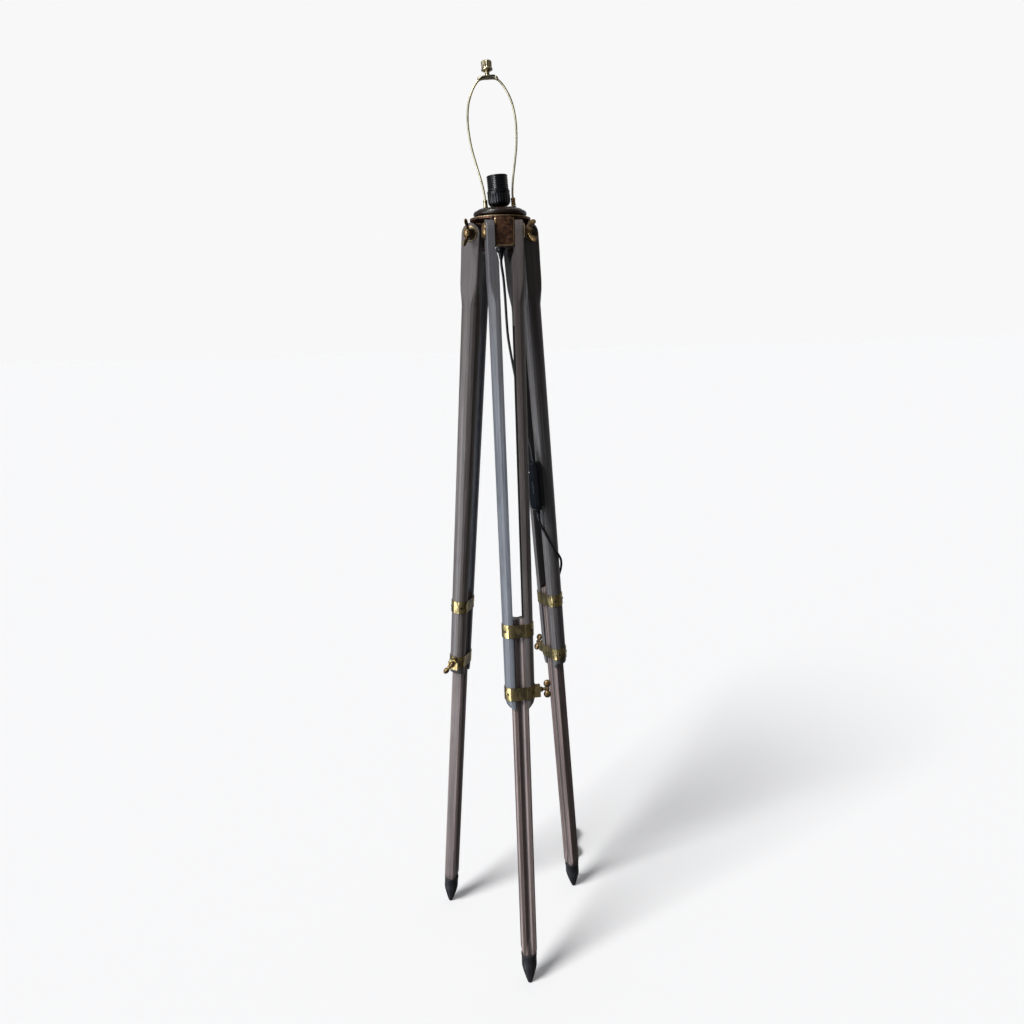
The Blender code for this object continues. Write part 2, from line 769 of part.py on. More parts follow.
def harp_outline():
    """Half of the harp's loop, from a foot up to the middle of its flat top."""
    foot, belly, shoulder = 0.011, 0.134, 0.1945
    lower = [(HARP_FOOT, foot), (HARP_FOOT, 0.024), (0.0285, 0.046), (0.0352, 0.077)]
    upper = [(0.0404, 0.104), (0.0428, belly), (0.0416, 0.157), (0.0375, 0.177)]
    upper.append((0.0298, shoulder))
    crown = [(0.0222, 0.2057), (0.0150, 0.2117), (0.0075, HARP_HIGH), (0, HARP_HIGH)]
    return [*lower, *upper, *crown]


def build_harp(lamp):
    reach, half_wide, thick = HARP_FOOT + 0.0045, 0.0055, 0.0016
    strip = block("harp_saddle", (-reach, -half_wide, 0), (reach, half_wide, thick))
    saddle = place("harp_saddle", strip, BRASS, lamp)
    soften(saddle, 0.0012)
    for label, side in (("left", -1), ("right", 1)):
        post_name, x = f"saddle_post_{label}", side * HARP_FOOT
        post = rod(post_name, POST_RADIUS, (x, 0, 0.0010), (x, 0, 0.0100), 16)
        join(saddle, place(post_name, post, None, lamp))
    eye = rod("saddle_eye", 0.0098, (0, 0, 0.0001), (0, 0, thick - 0.0001), 28)
    join(saddle, place("saddle_eye", eye, None, lamp))
    hole = rod("saddle_hole", 0.0062, (0, 0, -0.01), (0, 0, 0.02), 24)
    cut(saddle, place("saddle_hole", hole, None, lamp))

    half = harp_outline()
    loop = [(-x, 0, z) for x, z in half] + [(x, 0, z) for x, z in reversed(half[:-1])]
    wire("harp_wire", smooth_route(loop, 0.0115), HARP_WIRE, BRASS, lamp, sides=2)

    outer, foot, step, top = 0.0040, 0.0030, 0.0111, 0.0160
    socket, bore = POST_RADIUS + GAP, HARP_WIRE + GAP
    profile = [(outer, top), (outer, foot), (socket, foot)]
    profile += [(socket, step), (bore, step), (bore, top)]
    for label, side in (("left", -1), ("right", 1)):
        name = f"harp_ferrule_{label}"
        spec = turned(name, profile, closed=True, steps=16)
        place_turned(name, spec, BRASS, lamp, (side * HARP_FOOT, 0, 0))

    plate_low = HARP_HIGH + HARP_WIRE + GAP
    plate_high = plate_low + 0.0018
    plate = block("harp_top_plate", (-0.0085, -0.0065, plate_low), (0.0085, 0.0065, plate_high))
    plate = place("harp_top_plate", plate, BRASS, lamp)
    stud = rod("harp_stud", STUD_RADIUS, (0, 0, plate_high - 0.001), (0, 0, plate_high + 0.010), 18)
    join(plate, place("harp_stud", stud, None, lamp))

    base = plate_high + GAP
    bore = STUD_RADIUS + GAP
    profile = [
        (0, 0.0240), (0.0048, 0.0230), (0.0084, 0.0198), (FINIAL_RADIUS, 0.0150),
        (0.0092, 0.0105), (0.0080, 0.0086), (0.0082, 0.0066), (0.0046, 0.0052),
        (0.0040, 0.0016), (0.0050, 0), (bore, 0), (bore, 0.0110), (0, 0.0110),
    ]
    place_turned("finial", turned("finial", profile, steps=22), BRASS, lamp, (0, 0, base))


# ---- cord, switch and plug -----------------------------------------------------------
# The lead hangs from the gland to the switch on the right leg's inner side. The tail rounds
# the near stile, lies in the leg's outer channel under both bands, and reaches the floor.
LEAD_ROUTE = [
    (0.0000, 0.0434, 1.4467),
    (0.0001, 0.0434, 1.4380),
    (0.0018, 0.0450, 1.4270),
    (0.0044, 0.0490, 1.4100),
    (0.0073, 0.0545, 1.3744),
    (0.0095, 0.0600, 1.3379),
    (0.0128, 0.0640, 1.3007),
    (0.0225, 0.0668, 1.2435),
    (0.0349, 0.0655, 1.1754),
    (0.0462, 0.0590, 1.1164),
    (0.0524, 0.0540, 1.0860),
    (0.0560, 0.0521, 1.0639),
]
TAIL_ROUTE = [
    (0.0634, 0.0564, 0.9636),
    (0.0656, 0.0588, 0.9446),
    (0.0710, 0.0622, 0.9291),
    (0.0759, 0.0628, 0.9180),
    (0.0820, 0.0601, 0.9055),
    (0.0904, 0.0598, 0.8901),
    (0.0993, 0.0620, 0.8749),
    (0.1079, 0.0675, 0.8618),
    (0.1138, 0.0749, 0.8495),
    (0.1163, 0.0843, 0.8331),
    (0.1145, 0.0922, 0.8152),
    (0.1104, 0.0981, 0.7991),
    (0.1053, 0.1007, 0.7868),
    (0.1027, 0.1023, 0.7726),
    (0.1050, 0.1040, 0.7347),
    (0.1124, 0.1083, 0.6351),
    (0.1212, 0.1134, 0.5155),
    (0.1316, 0.1194, 0.3760),
    (0.1419, 0.1253, 0.2365),
    (0.1493, 0.1298, 0.1369),
    (0.1534, 0.1343, 0.0972),
    (0.1574, 0.1400, 0.0737),
    (0.1583, 0.1446, 0.0539),
    (0.1588, 0.1462, 0.0330),
    (0.1600, 0.1550, 0.0140),
    (0.1612, 0.1700, 0.0050),
    (0.1622, 0.1900, 0.0028),
    (0.1635, 0.2155, 0.0028),
]
SWITCH_MIDDLE = (-0.0291, -0.0205, -0.4765)  # in the right leg's frame
HANK_MIDDLE = (0.1727, 0.2731, 0)
HANK_TURN = math.radians(80.96)
HANK_LONG = 0.115
HANK_WIDE = 0.036
HANK_LOW = 0.0015
HANK_HIGH = 0.0205
TIE_THICK = 0.0012
PLUG_REAR = -0.0075  # of the strain relief, along the hank from its middle
PLUG_RISE = 0.0280


def build_cord():
    spacing = CORD_RADIUS * 5
    wire("cord_lead", smooth_route(LEAD_ROUTE, spacing), CORD_RADIUS, BLACK_RUBBER)
    wire("cord_tail", smooth_route(TAIL_ROUTE, spacing * 1.2), CORD_RADIUS, BLACK_RUBBER)
    hank = empty("hank_frame", None, HANK_MIDDLE, (0, 0, HANK_TURN))
    build_hank(hank)
    build_plug(hank)


def switch_ring(width, x, crown):
    """Round the switch's long outline, narrower at the top and rounded at the bottom."""
    half, tall = width / 2, SWITCH_LONG / 2 - (SWITCH_WIDE - width) / 2
    outline = [(-half, tall - crown), (-half * 0.62, tall)]
    outline += [(half * 0.62, tall), (half, tall - crown)]
    outline += [(half, -tall + 0.010), (half * 0.80, -tall + 0.003), (half * 0.45, -tall)]
    outline += [(-half * 0.45, -tall), (-half * 0.80, -tall + 0.003), (-half, -tall + 0.010)]
    return [(x, y, z) for y, z in outline]


def build_switch(leg):
    """An in-line cord switch in two moulded halves, with a push button and a lamp."""
    frame = empty("switch_frame", leg, SWITCH_MIDDLE)
    back, front = SWITCH_THICK / 2, -SWITCH_THICK / 2
    rings = [
        switch_ring(SWITCH_WIDE - 0.006, back, 0.012),
        switch_ring(SWITCH_WIDE - 0.001, back - 0.0035, 0.014),
        switch_ring(SWITCH_WIDE, GAP, 0.015),
    ]
    place("switch_base", loft("switch_base", rings), BLACK_PLASTIC, frame)
    rings = [
        switch_ring(SWITCH_WIDE, 0, 0.015),
        switch_ring(SWITCH_WIDE - 0.001, front + 0.0050, 0.015),
        switch_ring(SWITCH_WIDE - 0.009, front, 0.012),
    ]
    cover = place("switch_cover", loft("switch_cover", rings), BLACK_PLASTIC, frame)
    pocket_half = (0.0068, 0.0135)
    pocket = block(
        "button_pocket",
        (front - 0.01, -pocket_half[0], -pocket_half[1]),
        (front + 0.0060, pocket_half[0], pocket_half[1]),
    )
    cut(cover, place("button_pocket", pocket, None, frame))
    button = block(
        "switch_button",
        (front - 0.0012, -pocket_half[0] + GAP, -pocket_half[1] + GAP),
        (front + 0.0042, pocket_half[0] - GAP, pocket_half[1] - GAP),
    )
    soften(place("switch_button", button, BLACK_PLASTIC, frame), 0.0008)
    lamp_y, lamp_z, lamp_radius = 0.0045, 0.0300, 0.0017
    hole = rod(
        "lamp_hole", lamp_radius + GAP,
        (front - 0.01, lamp_y, lamp_z), (front + 0.004, lamp_y, lamp_z), 16,
    )
    cut(cover, place("lamp_hole", hole, None, frame))
    lens = rod(
        "switch_lamp", lamp_radius,
        (front - 0.0008, lamp_y, lamp_z), (front + 0.0036, lamp_y, lamp_z), 16,
    )
    place("switch_lamp", lens, WHITE, frame)


def build_hank(hank):
    end = HANK_WIDE / 2
    run = HANK_LONG / 2 - end
    outline = [*arc((run, 0), end, -90, 90, 11), *arc((-run, 0), end, 90, 270, 11)]
    rings = [[(x, y, z) for x, y in outline] for z in (HANK_LOW, HANK_HIGH)]
    place("cord_hank", loft("cord_hank", rings), BLACK_RUBBER, hank)

    def tie_ring(x, grow):
        low, high = HANK_LOW - grow, HANK_HIGH + grow
        half, c = end + grow, grow * 0.6
        corners = [(half, low + c), (half, high - c), (half - c, high), (c - half, high)]
        corners += [(-half, high - c), (-half, low + c), (c - half, low), (half - c, low)]
        return [(x, y, z) for y, z in corners]

    ends = (-0.005, 0.005)
    inner = [tie_ring(x, GAP) for x in ends]
    outer = [tie_ring(x, TIE_THICK) for x in ends]
    place("hank_tie", sleeve("hank_tie", outer, inner), BLACK_RUBBER, hank)


def build_plug(hank):
    """A flat two-pin plug lying on the hank, and the cord's last few centimetres."""
    end_route = [
        (-0.052, 0.0, HANK_HIGH + 0.0028),
        (-0.040, 0.0, HANK_HIGH + 0.0030),
        (-0.026, 0.0, HANK_HIGH + 0.0052),
        (PLUG_REAR - 0.006, 0.0, PLUG_RISE),
        (PLUG_REAR - GAP, 0.0, PLUG_RISE),
    ]
    wire("cord_end", smooth_route(end_route, 0.008), CORD_RADIUS, BLACK_RUBBER, hank)

    relief = [(0, 0.002), (0.0060, 0.002), (0.0058, -0.001), (0.0038, -0.0145), (0, -0.0145)]
    body_rear = PLUG_REAR + 0.0145
    profile_place = (body_rear, 0, PLUG_RISE)
    body_front = body_rear + 0.026

    def plug_ring(x, wide, high):
        corner = 0.003
        half_w, half_h = wide / 2, high / 2
        points = [(half_w, half_h - corner), (half_w - corner, half_h)]
        points += [(corner - half_w, half_h), (-half_w, half_h - corner)]
        points += [(-half_w, corner - half_h), (corner - half_w, -half_h)]
        points += [(half_w - corner, -half_h), (half_w, corner - half_h)]
        return [(x, y, PLUG_RISE + z) for y, z in points]

    rings = [
        plug_ring(body_rear, 0.0150, 0.0115),
        plug_ring(body_rear + 0.006, 0.0220, 0.0136),
        plug_ring(body_front - 0.004, 0.0250, 0.0140),
        plug_ring(body_front, 0.0235, 0.0128),
    ]
    body = place("plug_body", loft("plug_body", rings), BLACK_RUBBER, hank)
    tail = place_turned(
        "plug_relief", turned("plug_relief", relief, steps=16), None, hank,
        profile_place, (0, math.pi / 2, 0),
    )
    join(body, tail)
    for label, side in (("left", -1), ("right", 1)):
        name = f"plug_pin_{label}"
        y = side * 0.00635
        slot = block(
            name + "_slot",
            (body_front - 0.005, y - 0.0011, PLUG_RISE - 0.0035),
            (body_front + 0.01, y + 0.0011, PLUG_RISE + 0.0035),
        )
        cut(body, place(name + "_slot", slot, None, hank))
        pin = block(
            name,
            (body_front - 0.0047, y - 0.0008, PLUG_RISE - 0.0032),
            (body_front + 0.016, y + 0.0008, PLUG_RISE + 0.0032),
        )
        soften(place(name, pin, STEEL, hank), 0.0005, 1)


def build_all():
    tripod = empty("tripod_axis", None, (0, AXIS_Y, 0))
    build_head(tripod)
    build_top_disc(tripod)
    build_pipe(tripod)
    legs = {}
    for name, azimuth in LEG_AZIMUTHS.items():
        legs[name] = build_leg(name, azimuth, tripod)
    lamp = empty("lamp_frame", tripod, (0, 0, DISC_TOP + LAMP_SEAT), (0, LAMP_LEAN, 0))
    build_socket(lamp)
    build_harp(lamp)
    build_switch(legs["right"])
    build_cord()


build_all()
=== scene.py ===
"""The finished look of a wooden field tripod carrying a bare floor-lamp fitting.

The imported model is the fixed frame. Every leg has its own axes, x outward, y along its pivot
bolt and z up the leg, with the pivot at the origin, so a distance s down the leg is z = -s.
"""

import json
import math

import bmesh
import bpy
from mathutils import Euler, Matrix, Vector


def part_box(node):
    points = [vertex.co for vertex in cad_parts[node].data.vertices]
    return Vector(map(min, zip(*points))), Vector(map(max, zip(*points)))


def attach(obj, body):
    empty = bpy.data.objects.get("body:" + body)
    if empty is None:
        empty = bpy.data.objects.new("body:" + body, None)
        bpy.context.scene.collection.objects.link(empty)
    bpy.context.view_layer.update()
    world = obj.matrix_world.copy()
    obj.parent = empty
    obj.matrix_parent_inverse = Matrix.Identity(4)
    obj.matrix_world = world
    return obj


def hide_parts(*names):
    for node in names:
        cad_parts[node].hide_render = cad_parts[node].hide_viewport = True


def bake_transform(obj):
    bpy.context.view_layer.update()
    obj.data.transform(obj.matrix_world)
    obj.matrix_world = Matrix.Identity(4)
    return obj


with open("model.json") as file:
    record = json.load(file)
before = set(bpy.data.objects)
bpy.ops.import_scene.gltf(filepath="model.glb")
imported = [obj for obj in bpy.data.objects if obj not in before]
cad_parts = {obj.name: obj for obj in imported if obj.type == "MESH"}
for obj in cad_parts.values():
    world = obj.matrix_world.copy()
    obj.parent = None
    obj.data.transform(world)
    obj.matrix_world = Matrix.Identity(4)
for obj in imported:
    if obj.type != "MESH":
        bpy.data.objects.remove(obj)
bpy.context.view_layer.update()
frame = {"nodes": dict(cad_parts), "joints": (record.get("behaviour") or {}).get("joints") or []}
NODES = frame["nodes"]
JOINTS = {joint["name"]: joint for joint in frame["joints"]}
LEGS = ("front", "right", "left")

# ---- sizes that the frame doesn't state, in metres ---------------------------------------
GAP = 0.0003  # left between neighbouring pieces
STILE_END = 0.890  # this and the next three are distances down the leg from its pivot
UPPER_BAND = 0.733
LOWER_BAND = 0.859
RUNOUT_END = 0.058  # where the notch beside the lug has run out into the gap below it
PAIR_HALF = (0.0335, 0.0289)  # half the width over both stiles, at the pivot and at the end
DEPTH_HALF = (0.01875, 0.01575)  # half a stile's depth, at the same two places
GAP_HALF = (0.0125, 0.0105)  # half the gap between the stiles, at the runout and at the end
SHOULDER = 0.0045  # the flat edge of a stile beside the gap
SLIDER_HALF_WIDTH = 0.0155
SLIDER_HALF_DEPTH = 0.012
BAND_THICK = 0.0012
WASHER_THICK = 0.004
SHOE_LONG = 0.070
SHOE_RADIUS = 0.0160
PEG_RADIUS = 0.0078
PEG_LONG = 0.022
CORD_DIAMETER = 0.005
BOOT_LONG = 0.022
BOOT_RADIUS = 0.0050  # at the switch
BOOT_TIP = 0.0031
SOCKET_BASE_HIGH = 0.030
SHELL_HIGH = 0.0255
HARP_FOOT = 0.0255  # from the lamp's axis to each foot of the bow
HARP_HIGH = 0.2130
HARP_WIRE = 0.0019  # the wire's radius
FUSE_VOXEL = 0.00045

# ---- how far the loose pieces are turned, in degrees --------------------------------------
WING_ANGLES = {"front": 60, "right": 25, "left": 84}
THUMB_ANGLES = {"front": 0, "right": 25, "left": -35}

AXIS_Y = sum(JOINTS[leg + "_swing"]["pos_m"][1] for leg in LEGS) / 3
PIVOT_HEIGHT = JOINTS["front_swing"]["pos_m"][2]
LEG_LENGTH = PIVOT_HEIGHT / JOINTS["front_extend"]["axis"][2]
PIVOT_RADIUS = AXIS_Y - JOINTS["front_swing"]["pos_m"][1]


# ---- frames -----------------------------------------------------------------------------
def axes(x, y, z, origin):
    made = Matrix((x, y, z)).transposed().to_4x4()
    made.translation = origin
    return made


def leg_axes(leg, up=None):
    up = up or Vector(JOINTS[leg + "_extend"]["axis"]).normalized()
    along = Vector(JOINTS[leg + "_wing_spin"]["axis"]).normalized()
    return axes(along.cross(up), along, up, JOINTS[leg + "_swing"]["pos_m"])


LEG = {leg: leg_axes(leg) for leg in LEGS}
PIVOT = {leg: leg_axes(leg, Vector((0, 0, 1))) for leg in LEGS}
HEAD = Matrix.Translation((0, AXIS_Y, 0))
lamp_up = Vector(JOINTS["harp_lift"]["axis"]).normalized()
LAMP = axes(Vector((0, 1, 0)).cross(lamp_up), (0, 1, 0), lamp_up, JOINTS["finial_spin"]["pos_m"])


# ---- camera -----------------------------------------------------------------------------
def build_camera():
    distance, height = 1.4655, 1.3295
    pitch, roll, yaw, swing = (math.radians(a) for a in (13.93, -1.38, 0.34, 7.24))
    around = Matrix.Rotation(-swing, 3, "Z")
    ahead = Vector((math.sin(yaw), math.cos(yaw), -math.tan(pitch))).normalized()
    forward = around @ ahead
    level = forward.cross(Vector((0, 0, 1))).normalized()
    over = level.cross(forward)
    right = math.cos(roll) * level + math.sin(roll) * over
    up = math.cos(roll) * over - math.sin(roll) * level
    data = bpy.data.cameras.new("camera")
    data.sensor_width = 36
    data.lens = 26.58
    made = bpy.data.objects.new("camera", data)
    place = around @ Vector((0, -distance, height)) + Vector((0, AXIS_Y, 0))
    made.matrix_world = axes(right, up, -forward, place)
    bpy.context.scene.collection.objects.link(made)
    bpy.context.scene.camera = made


build_camera()


# ---- mesh helpers -----------------------------------------------------------------------
def bridge(bm, low, high):
    """Faces between two rings of points, either of which may be a single point."""
    count = max(len(low), len(high))
    for i in range(count):
        j = (i + 1) % count
        corners = [low[i % len(low)], low[j % len(low)], high[j % len(high)], high[i % len(high)]]
        corners = list(dict.fromkeys(corners))
        if len(corners) > 2:
            bm.faces.new(corners)


def finish_mesh(bm, name, sharp=38):
    bmesh.ops.recalc_face_normals(bm, faces=bm.faces)
    data = bpy.data.meshes.new(name)
    bm.to_mesh(data)
    bm.free()
    data.shade_smooth()
    data.set_sharp_from_angle(angle=math.radians(sharp))
    return data


def skin(name, rings, looped=False, sharp=38):
    """Skins a run of rings; the ends are capped, or joined to each other where looped."""
    bm = bmesh.new()
    rows = [[bm.verts.new(p) for p in ring] for ring in rings]
    for low, high in zip(rows, rows[1:]):
        bridge(bm, low, high)
    if looped:
        bridge(bm, rows[-1], rows[0])
    else:
        for row in (rows[0], rows[-1]):
            if len(row) > 2:
                bm.faces.new(row)
    return finish_mesh(bm, name, sharp)


def circle(radius, z, steps, ripple=None):
    """Points round the axis; ripple(angle) is added to the radius."""
    if radius < 1e-6:
        return [(0, 0, z)]
    ring = []
    for i in range(steps):
        angle = math.tau * i / steps
        r = radius + (ripple(angle) if ripple else 0)
        ring.append((r * math.cos(angle), r * math.sin(angle), z))
    return ring


def lathe(name, profile, steps=56, looped=False, ripples=None, sharp=38):
    """Turns a profile of (radius, height); ripples maps a profile index to a ripple."""
    ripples = ripples or {}
    rings = [circle(r, z, steps, ripples.get(k)) for k, (r, z) in enumerate(profile)]
    return skin(name, rings, looped, sharp)


def put(name, data, finish, at=None):
    made = bpy.data.objects.new(name, data)
    bpy.context.scene.collection.objects.link(made)
    if at is not None:
        data.transform(at)
    if finish:
        data.materials.append(finish)
    return made


def arc(centre, radius, start, end, count):
    angles = [math.radians(start + (end - start) * i / (count - 1)) for i in range(count)]
    return [(centre[0] + radius * math.cos(a), centre[1] + radius * math.sin(a)) for a in angles]


def smooth_route(points, spacing):
    """Points about spacing apart along a smooth curve through the route's own points."""
    route = [Vector(p) for p in points]
    ends = [route[0] * 2 - route[1], *route, route[-1] * 2 - route[-2]]
    fine = []
    for a, b, c, d in zip(ends, ends[1:], ends[2:], ends[3:]):
        for k in range(24):
            u = k / 24
            bend = (2 * a - 5 * b + 4 * c - d) * u**2 + (3 * b - a - 3 * c + d) * u**3
            fine.append(0.5 * (2 * b + (c - a) * u + bend))
    fine.append(route[-1])
    length = sum((q - p).length for p, q in zip(fine, fine[1:]))
    count = max(2, round(length / spacing))
    even, gone, wanted = [fine[0]], 0.0, length / count
    for p, q in zip(fine, fine[1:]):
        step = (q - p).length
        while gone + step >= wanted and len(even) < count:
            even.append(p.lerp(q, (wanted - gone) / step))
            wanted += length / count
        gone += step
    even.append(fine[-1])
    return even


def tube(name, points, radius, sides=12):
    """A round tube along the points, whose rings turn without twisting. The radius is one
    number, or a list with one for each point."""
    points = [Vector(p) for p in points]
    heading = (points[1] - points[0]).normalized()
    across = heading.orthogonal().normalized()
    rings = []
    for k, p in enumerate(points):
        ahead = points[min(k + 1, len(points) - 1)] - points[max(k - 1, 0)]
        turn = heading.rotation_difference(ahead.normalized())
        across = turn @ across
        heading = ahead.normalized()
        other = heading.cross(across)
        r = radius[k] if isinstance(radius, list) else radius
        ring = []
        for i in range(sides):
            a = math.tau * i / sides
            ring.append(p + (across * math.cos(a) + other * math.sin(a)) * r)
        rings.append(ring)
    return skin(name, rings)


# ---- cords ------------------------------------------------------------------------------
LEAD_ROUTE = [
    (0.0000, 0.0434, 1.4510),
    (0.0001, 0.0434, 1.4380),
    (0.0018, 0.0450, 1.4270),
    (0.0044, 0.0490, 1.4100),
    (0.0073, 0.0545, 1.3744),
    (0.0095, 0.0600, 1.3379),
    (0.0128, 0.0640, 1.3007),
    (0.0225, 0.0668, 1.2435),
    (0.0349, 0.0655, 1.1754),
    (0.0462, 0.0590, 1.1164),
    (0.0524, 0.0540, 1.0860),
    (0.0560, 0.0521, 1.0620),
]
TAIL_ROUTE = [
    (0.0630, 0.0560, 0.9665),
    (0.0656, 0.0588, 0.9446),
    (0.0710, 0.0622, 0.9291),
    (0.0759, 0.0628, 0.9180),
    (0.0820, 0.0601, 0.9055),
    (0.0904, 0.0598, 0.8901),
    (0.0993, 0.0620, 0.8749),
    (0.1079, 0.0675, 0.8618),
    (0.1138, 0.0749, 0.8495),
    (0.1163, 0.0843, 0.8331),
    (0.1145, 0.0922, 0.8152),
    (0.1104, 0.0981, 0.7991),
    (0.1053, 0.1007, 0.7868),
    (0.1027, 0.1023, 0.7726),
    (0.1050, 0.1040, 0.7347),
    (0.1124, 0.1083, 0.6351),
    (0.1212, 0.1134, 0.5155),
    (0.1316, 0.1194, 0.3760),
    (0.1419, 0.1253, 0.2365),
    (0.1493, 0.1298, 0.1369),
    (0.1534, 0.1343, 0.0972),
    (0.1574, 0.1400, 0.0737),
    (0.1583, 0.1446, 0.0539),
    (0.1588, 0.1462, 0.0330),
    (0.1600, 0.1550, 0.0140),
    (0.1612, 0.1700, 0.0050),
    (0.1622, 0.1900, 0.0028),
    (0.1630, 0.2060, 0.0028),
]
HANK = Matrix.Translation((0.1727, 0.2731, 0)) @ Matrix.Rotation(math.radians(80.96), 4, "Z")
HANK_TURNS = 3
HANK_RUN = 0.040  # from the middle to the centre of an end fold
HANK_START = 0.052  # how far before the middle the cord leaves its straight run
FOLD_RADIUS = 0.0162
TIE_HALF = 0.0030  # from the hank's middle line to a strand under the tie
TURN_PITCH = 0.0056
PLUG_REAR = Vector((-0.0078, 0, 0.028))
PLUG_BEND = 0.020


def strand_y(x):
    """How far a strand lies from the hank's middle line, drawn in under the tie."""
    share = min(abs(x) / HANK_RUN, 1)
    return TIE_HALF + (FOLD_RADIUS - TIE_HALF) * (0.5 - 0.5 * math.cos(math.pi * share))


def fold(centre_x, start, end):
    return arc((centre_x, 0), FOLD_RADIUS, start, end, 13)


def straight(start, end, side, count=14):
    xs = [start + (end - start) * i / count for i in range(1, count)]
    return [(x, side * strand_y(x)) for x in xs]


def hank_plan():
    """The turns seen from above, from where the cord comes in to the last fold's end."""
    shares = [k / 5 for k in range(6)]
    first = [(share * HANK_START - HANK_START, TIE_HALF * share**2) for share in shares]
    plan = first + straight(0, HANK_RUN, 1, 8)
    for turn in range(HANK_TURNS):
        plan += fold(HANK_RUN, 90, -90)
        plan += straight(HANK_RUN, -HANK_RUN, -1)
        if turn < HANK_TURNS - 1:
            plan += fold(-HANK_RUN, -90, -270)
            plan += straight(-HANK_RUN, HANK_RUN, 1)
    return plan


def hank_route():
    """The turns climb by one pitch each, and the cord then rises to the plug on top."""
    plan = hank_plan()
    lengths = [math.dist(a, b) for a, b in zip(plan, plan[1:])]
    whole, gone, route = sum(lengths), 0.0, []
    low = CORD_DIAMETER / 2 + GAP
    high = CORD_DIAMETER / 2 + GAP + TURN_PITCH * (HANK_TURNS - 0.25)
    for (x, y), step in zip(plan, [0.0, *lengths]):
        gone += step
        route.append((x, y, low + (high - low) * gone / whole))
    leave = 45  # how far past straight the last fold turns before it heads for the plug
    rise = fold(-HANK_RUN, -90, -270 - leave)[1:]
    centre = (PLUG_REAR.x - 0.002, PLUG_BEND)
    rise += arc(centre, PLUG_BEND, -90 - leave, -90, 5)
    for k, (x, y) in enumerate(rise):
        share = 0.5 - 0.5 * math.cos(math.pi * (k + 1) / len(rise))
        route.append((x, y, high + (PLUG_REAR.z - high) * share))
    route.append((PLUG_REAR.x + 0.004, 0, PLUG_REAR.z))
    return [HANK @ Vector(p) for p in route]


def build_cords(finish):
    lead_line = smooth_route(LEAD_ROUTE, 0.006)
    lead = put("mains_lead", tube("mains_lead", lead_line, CORD_DIAMETER / 2), finish)
    tail_line = smooth_route([*TAIL_ROUTE, *hank_route()], 0.005)
    tail = put("mains_tail", tube("mains_tail", tail_line, CORD_DIAMETER / 2), finish)
    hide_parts("cord_lead")
    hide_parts("cord_tail", "cord_hank", "cord_end")
    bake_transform(lead)
    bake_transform(tail)
    return lead, lead_line, tail, tail_line


# ---- materials --------------------------------------------------------------------------
def toned(colour, factor):
    """A darker or lighter tone of a colour."""
    return tuple(c * factor for c in colour)


class Graph:
    """A material's node tree, with short ways to add the nodes used here."""

    def __init__(self, name):
        self.material = bpy.data.materials.new(name)
        self.material.use_nodes = True
        self.tree = self.material.node_tree
        self.shader = self.tree.nodes["Principled BSDF"]
        self.place = self.add("ShaderNodeTexCoord").outputs["Object"]

    def add(self, kind, values=None, **settings):
        made = self.tree.nodes.new(kind)
        for key, value in settings.items():
            setattr(made, key, value)
        for key, value in (values or {}).items():
            self.feed(made.inputs[key], value)
        return made

    def feed(self, socket, value):
        if isinstance(value, bpy.types.NodeSocket):
            self.tree.links.new(value, socket)
        elif socket.type == "RGBA" and len(value) == 3:
            socket.default_value = (*value, 1)
        else:
            socket.default_value = value

    def frame(self, matrix):
        """Coordinates in the frame of a matrix."""
        values = {"Vector": self.place, "Location": matrix.translation}
        values["Rotation"] = matrix.to_euler()
        return self.add("ShaderNodeMapping", values, vector_type="TEXTURE").outputs[0]

    def scaled(self, place, scale, offset=(0, 0, 0)):
        values = {"Vector": place, "Scale": scale, "Location": offset}
        return self.add("ShaderNodeMapping", values).outputs[0]

    def noise(self, place, scale=1.0, detail=5.0, roughness=0.55, distortion=0.0):
        values = {"Vector": place, "Scale": scale, "Detail": detail}
        values.update({"Roughness": roughness, "Distortion": distortion})
        return self.add("ShaderNodeTexNoise", values).outputs[0]

    def range(self, value, low, high, to_low=0.0, to_high=1.0):
        values = {"Value": value, "From Min": low, "From Max": high}
        values.update({"To Min": to_low, "To Max": to_high})
        return self.add("ShaderNodeMapRange", values, interpolation_type="SMOOTHSTEP").outputs[0]

    def math(self, operation, a, b=0.0):
        made = self.add("ShaderNodeMath", operation=operation)
        self.feed(made.inputs[0], a)
        self.feed(made.inputs[1], b)
        return made.outputs[0]

    def reach(self, a, b):
        """How far a point is from an axis, from its two distances across it."""
        squares = self.math("ADD", self.math("MULTIPLY", a, a), self.math("MULTIPLY", b, b))
        return self.math("SQRT", squares)

    def mix(self, share, a, b):
        made = self.add("ShaderNodeMix", data_type="RGBA")
        self.feed(made.inputs[0], share)
        self.feed(made.inputs[6], a)
        self.feed(made.inputs[7], b)
        return made.outputs[2]

    def bump(self, height, distance, strength=1.0, normal=None):
        values = {"Height": height, "Distance": distance, "Strength": strength}
        if normal:
            values["Normal"] = normal
        return self.add("ShaderNodeBump", values).outputs[0]

    def split(self, place):
        return self.add("ShaderNodeSeparateXYZ", {"Vector": place}).outputs

    def done(self, **values):
        for key, value in values.items():
            self.feed(self.shader.inputs[key.replace("_", " ")], value)
        return self.material


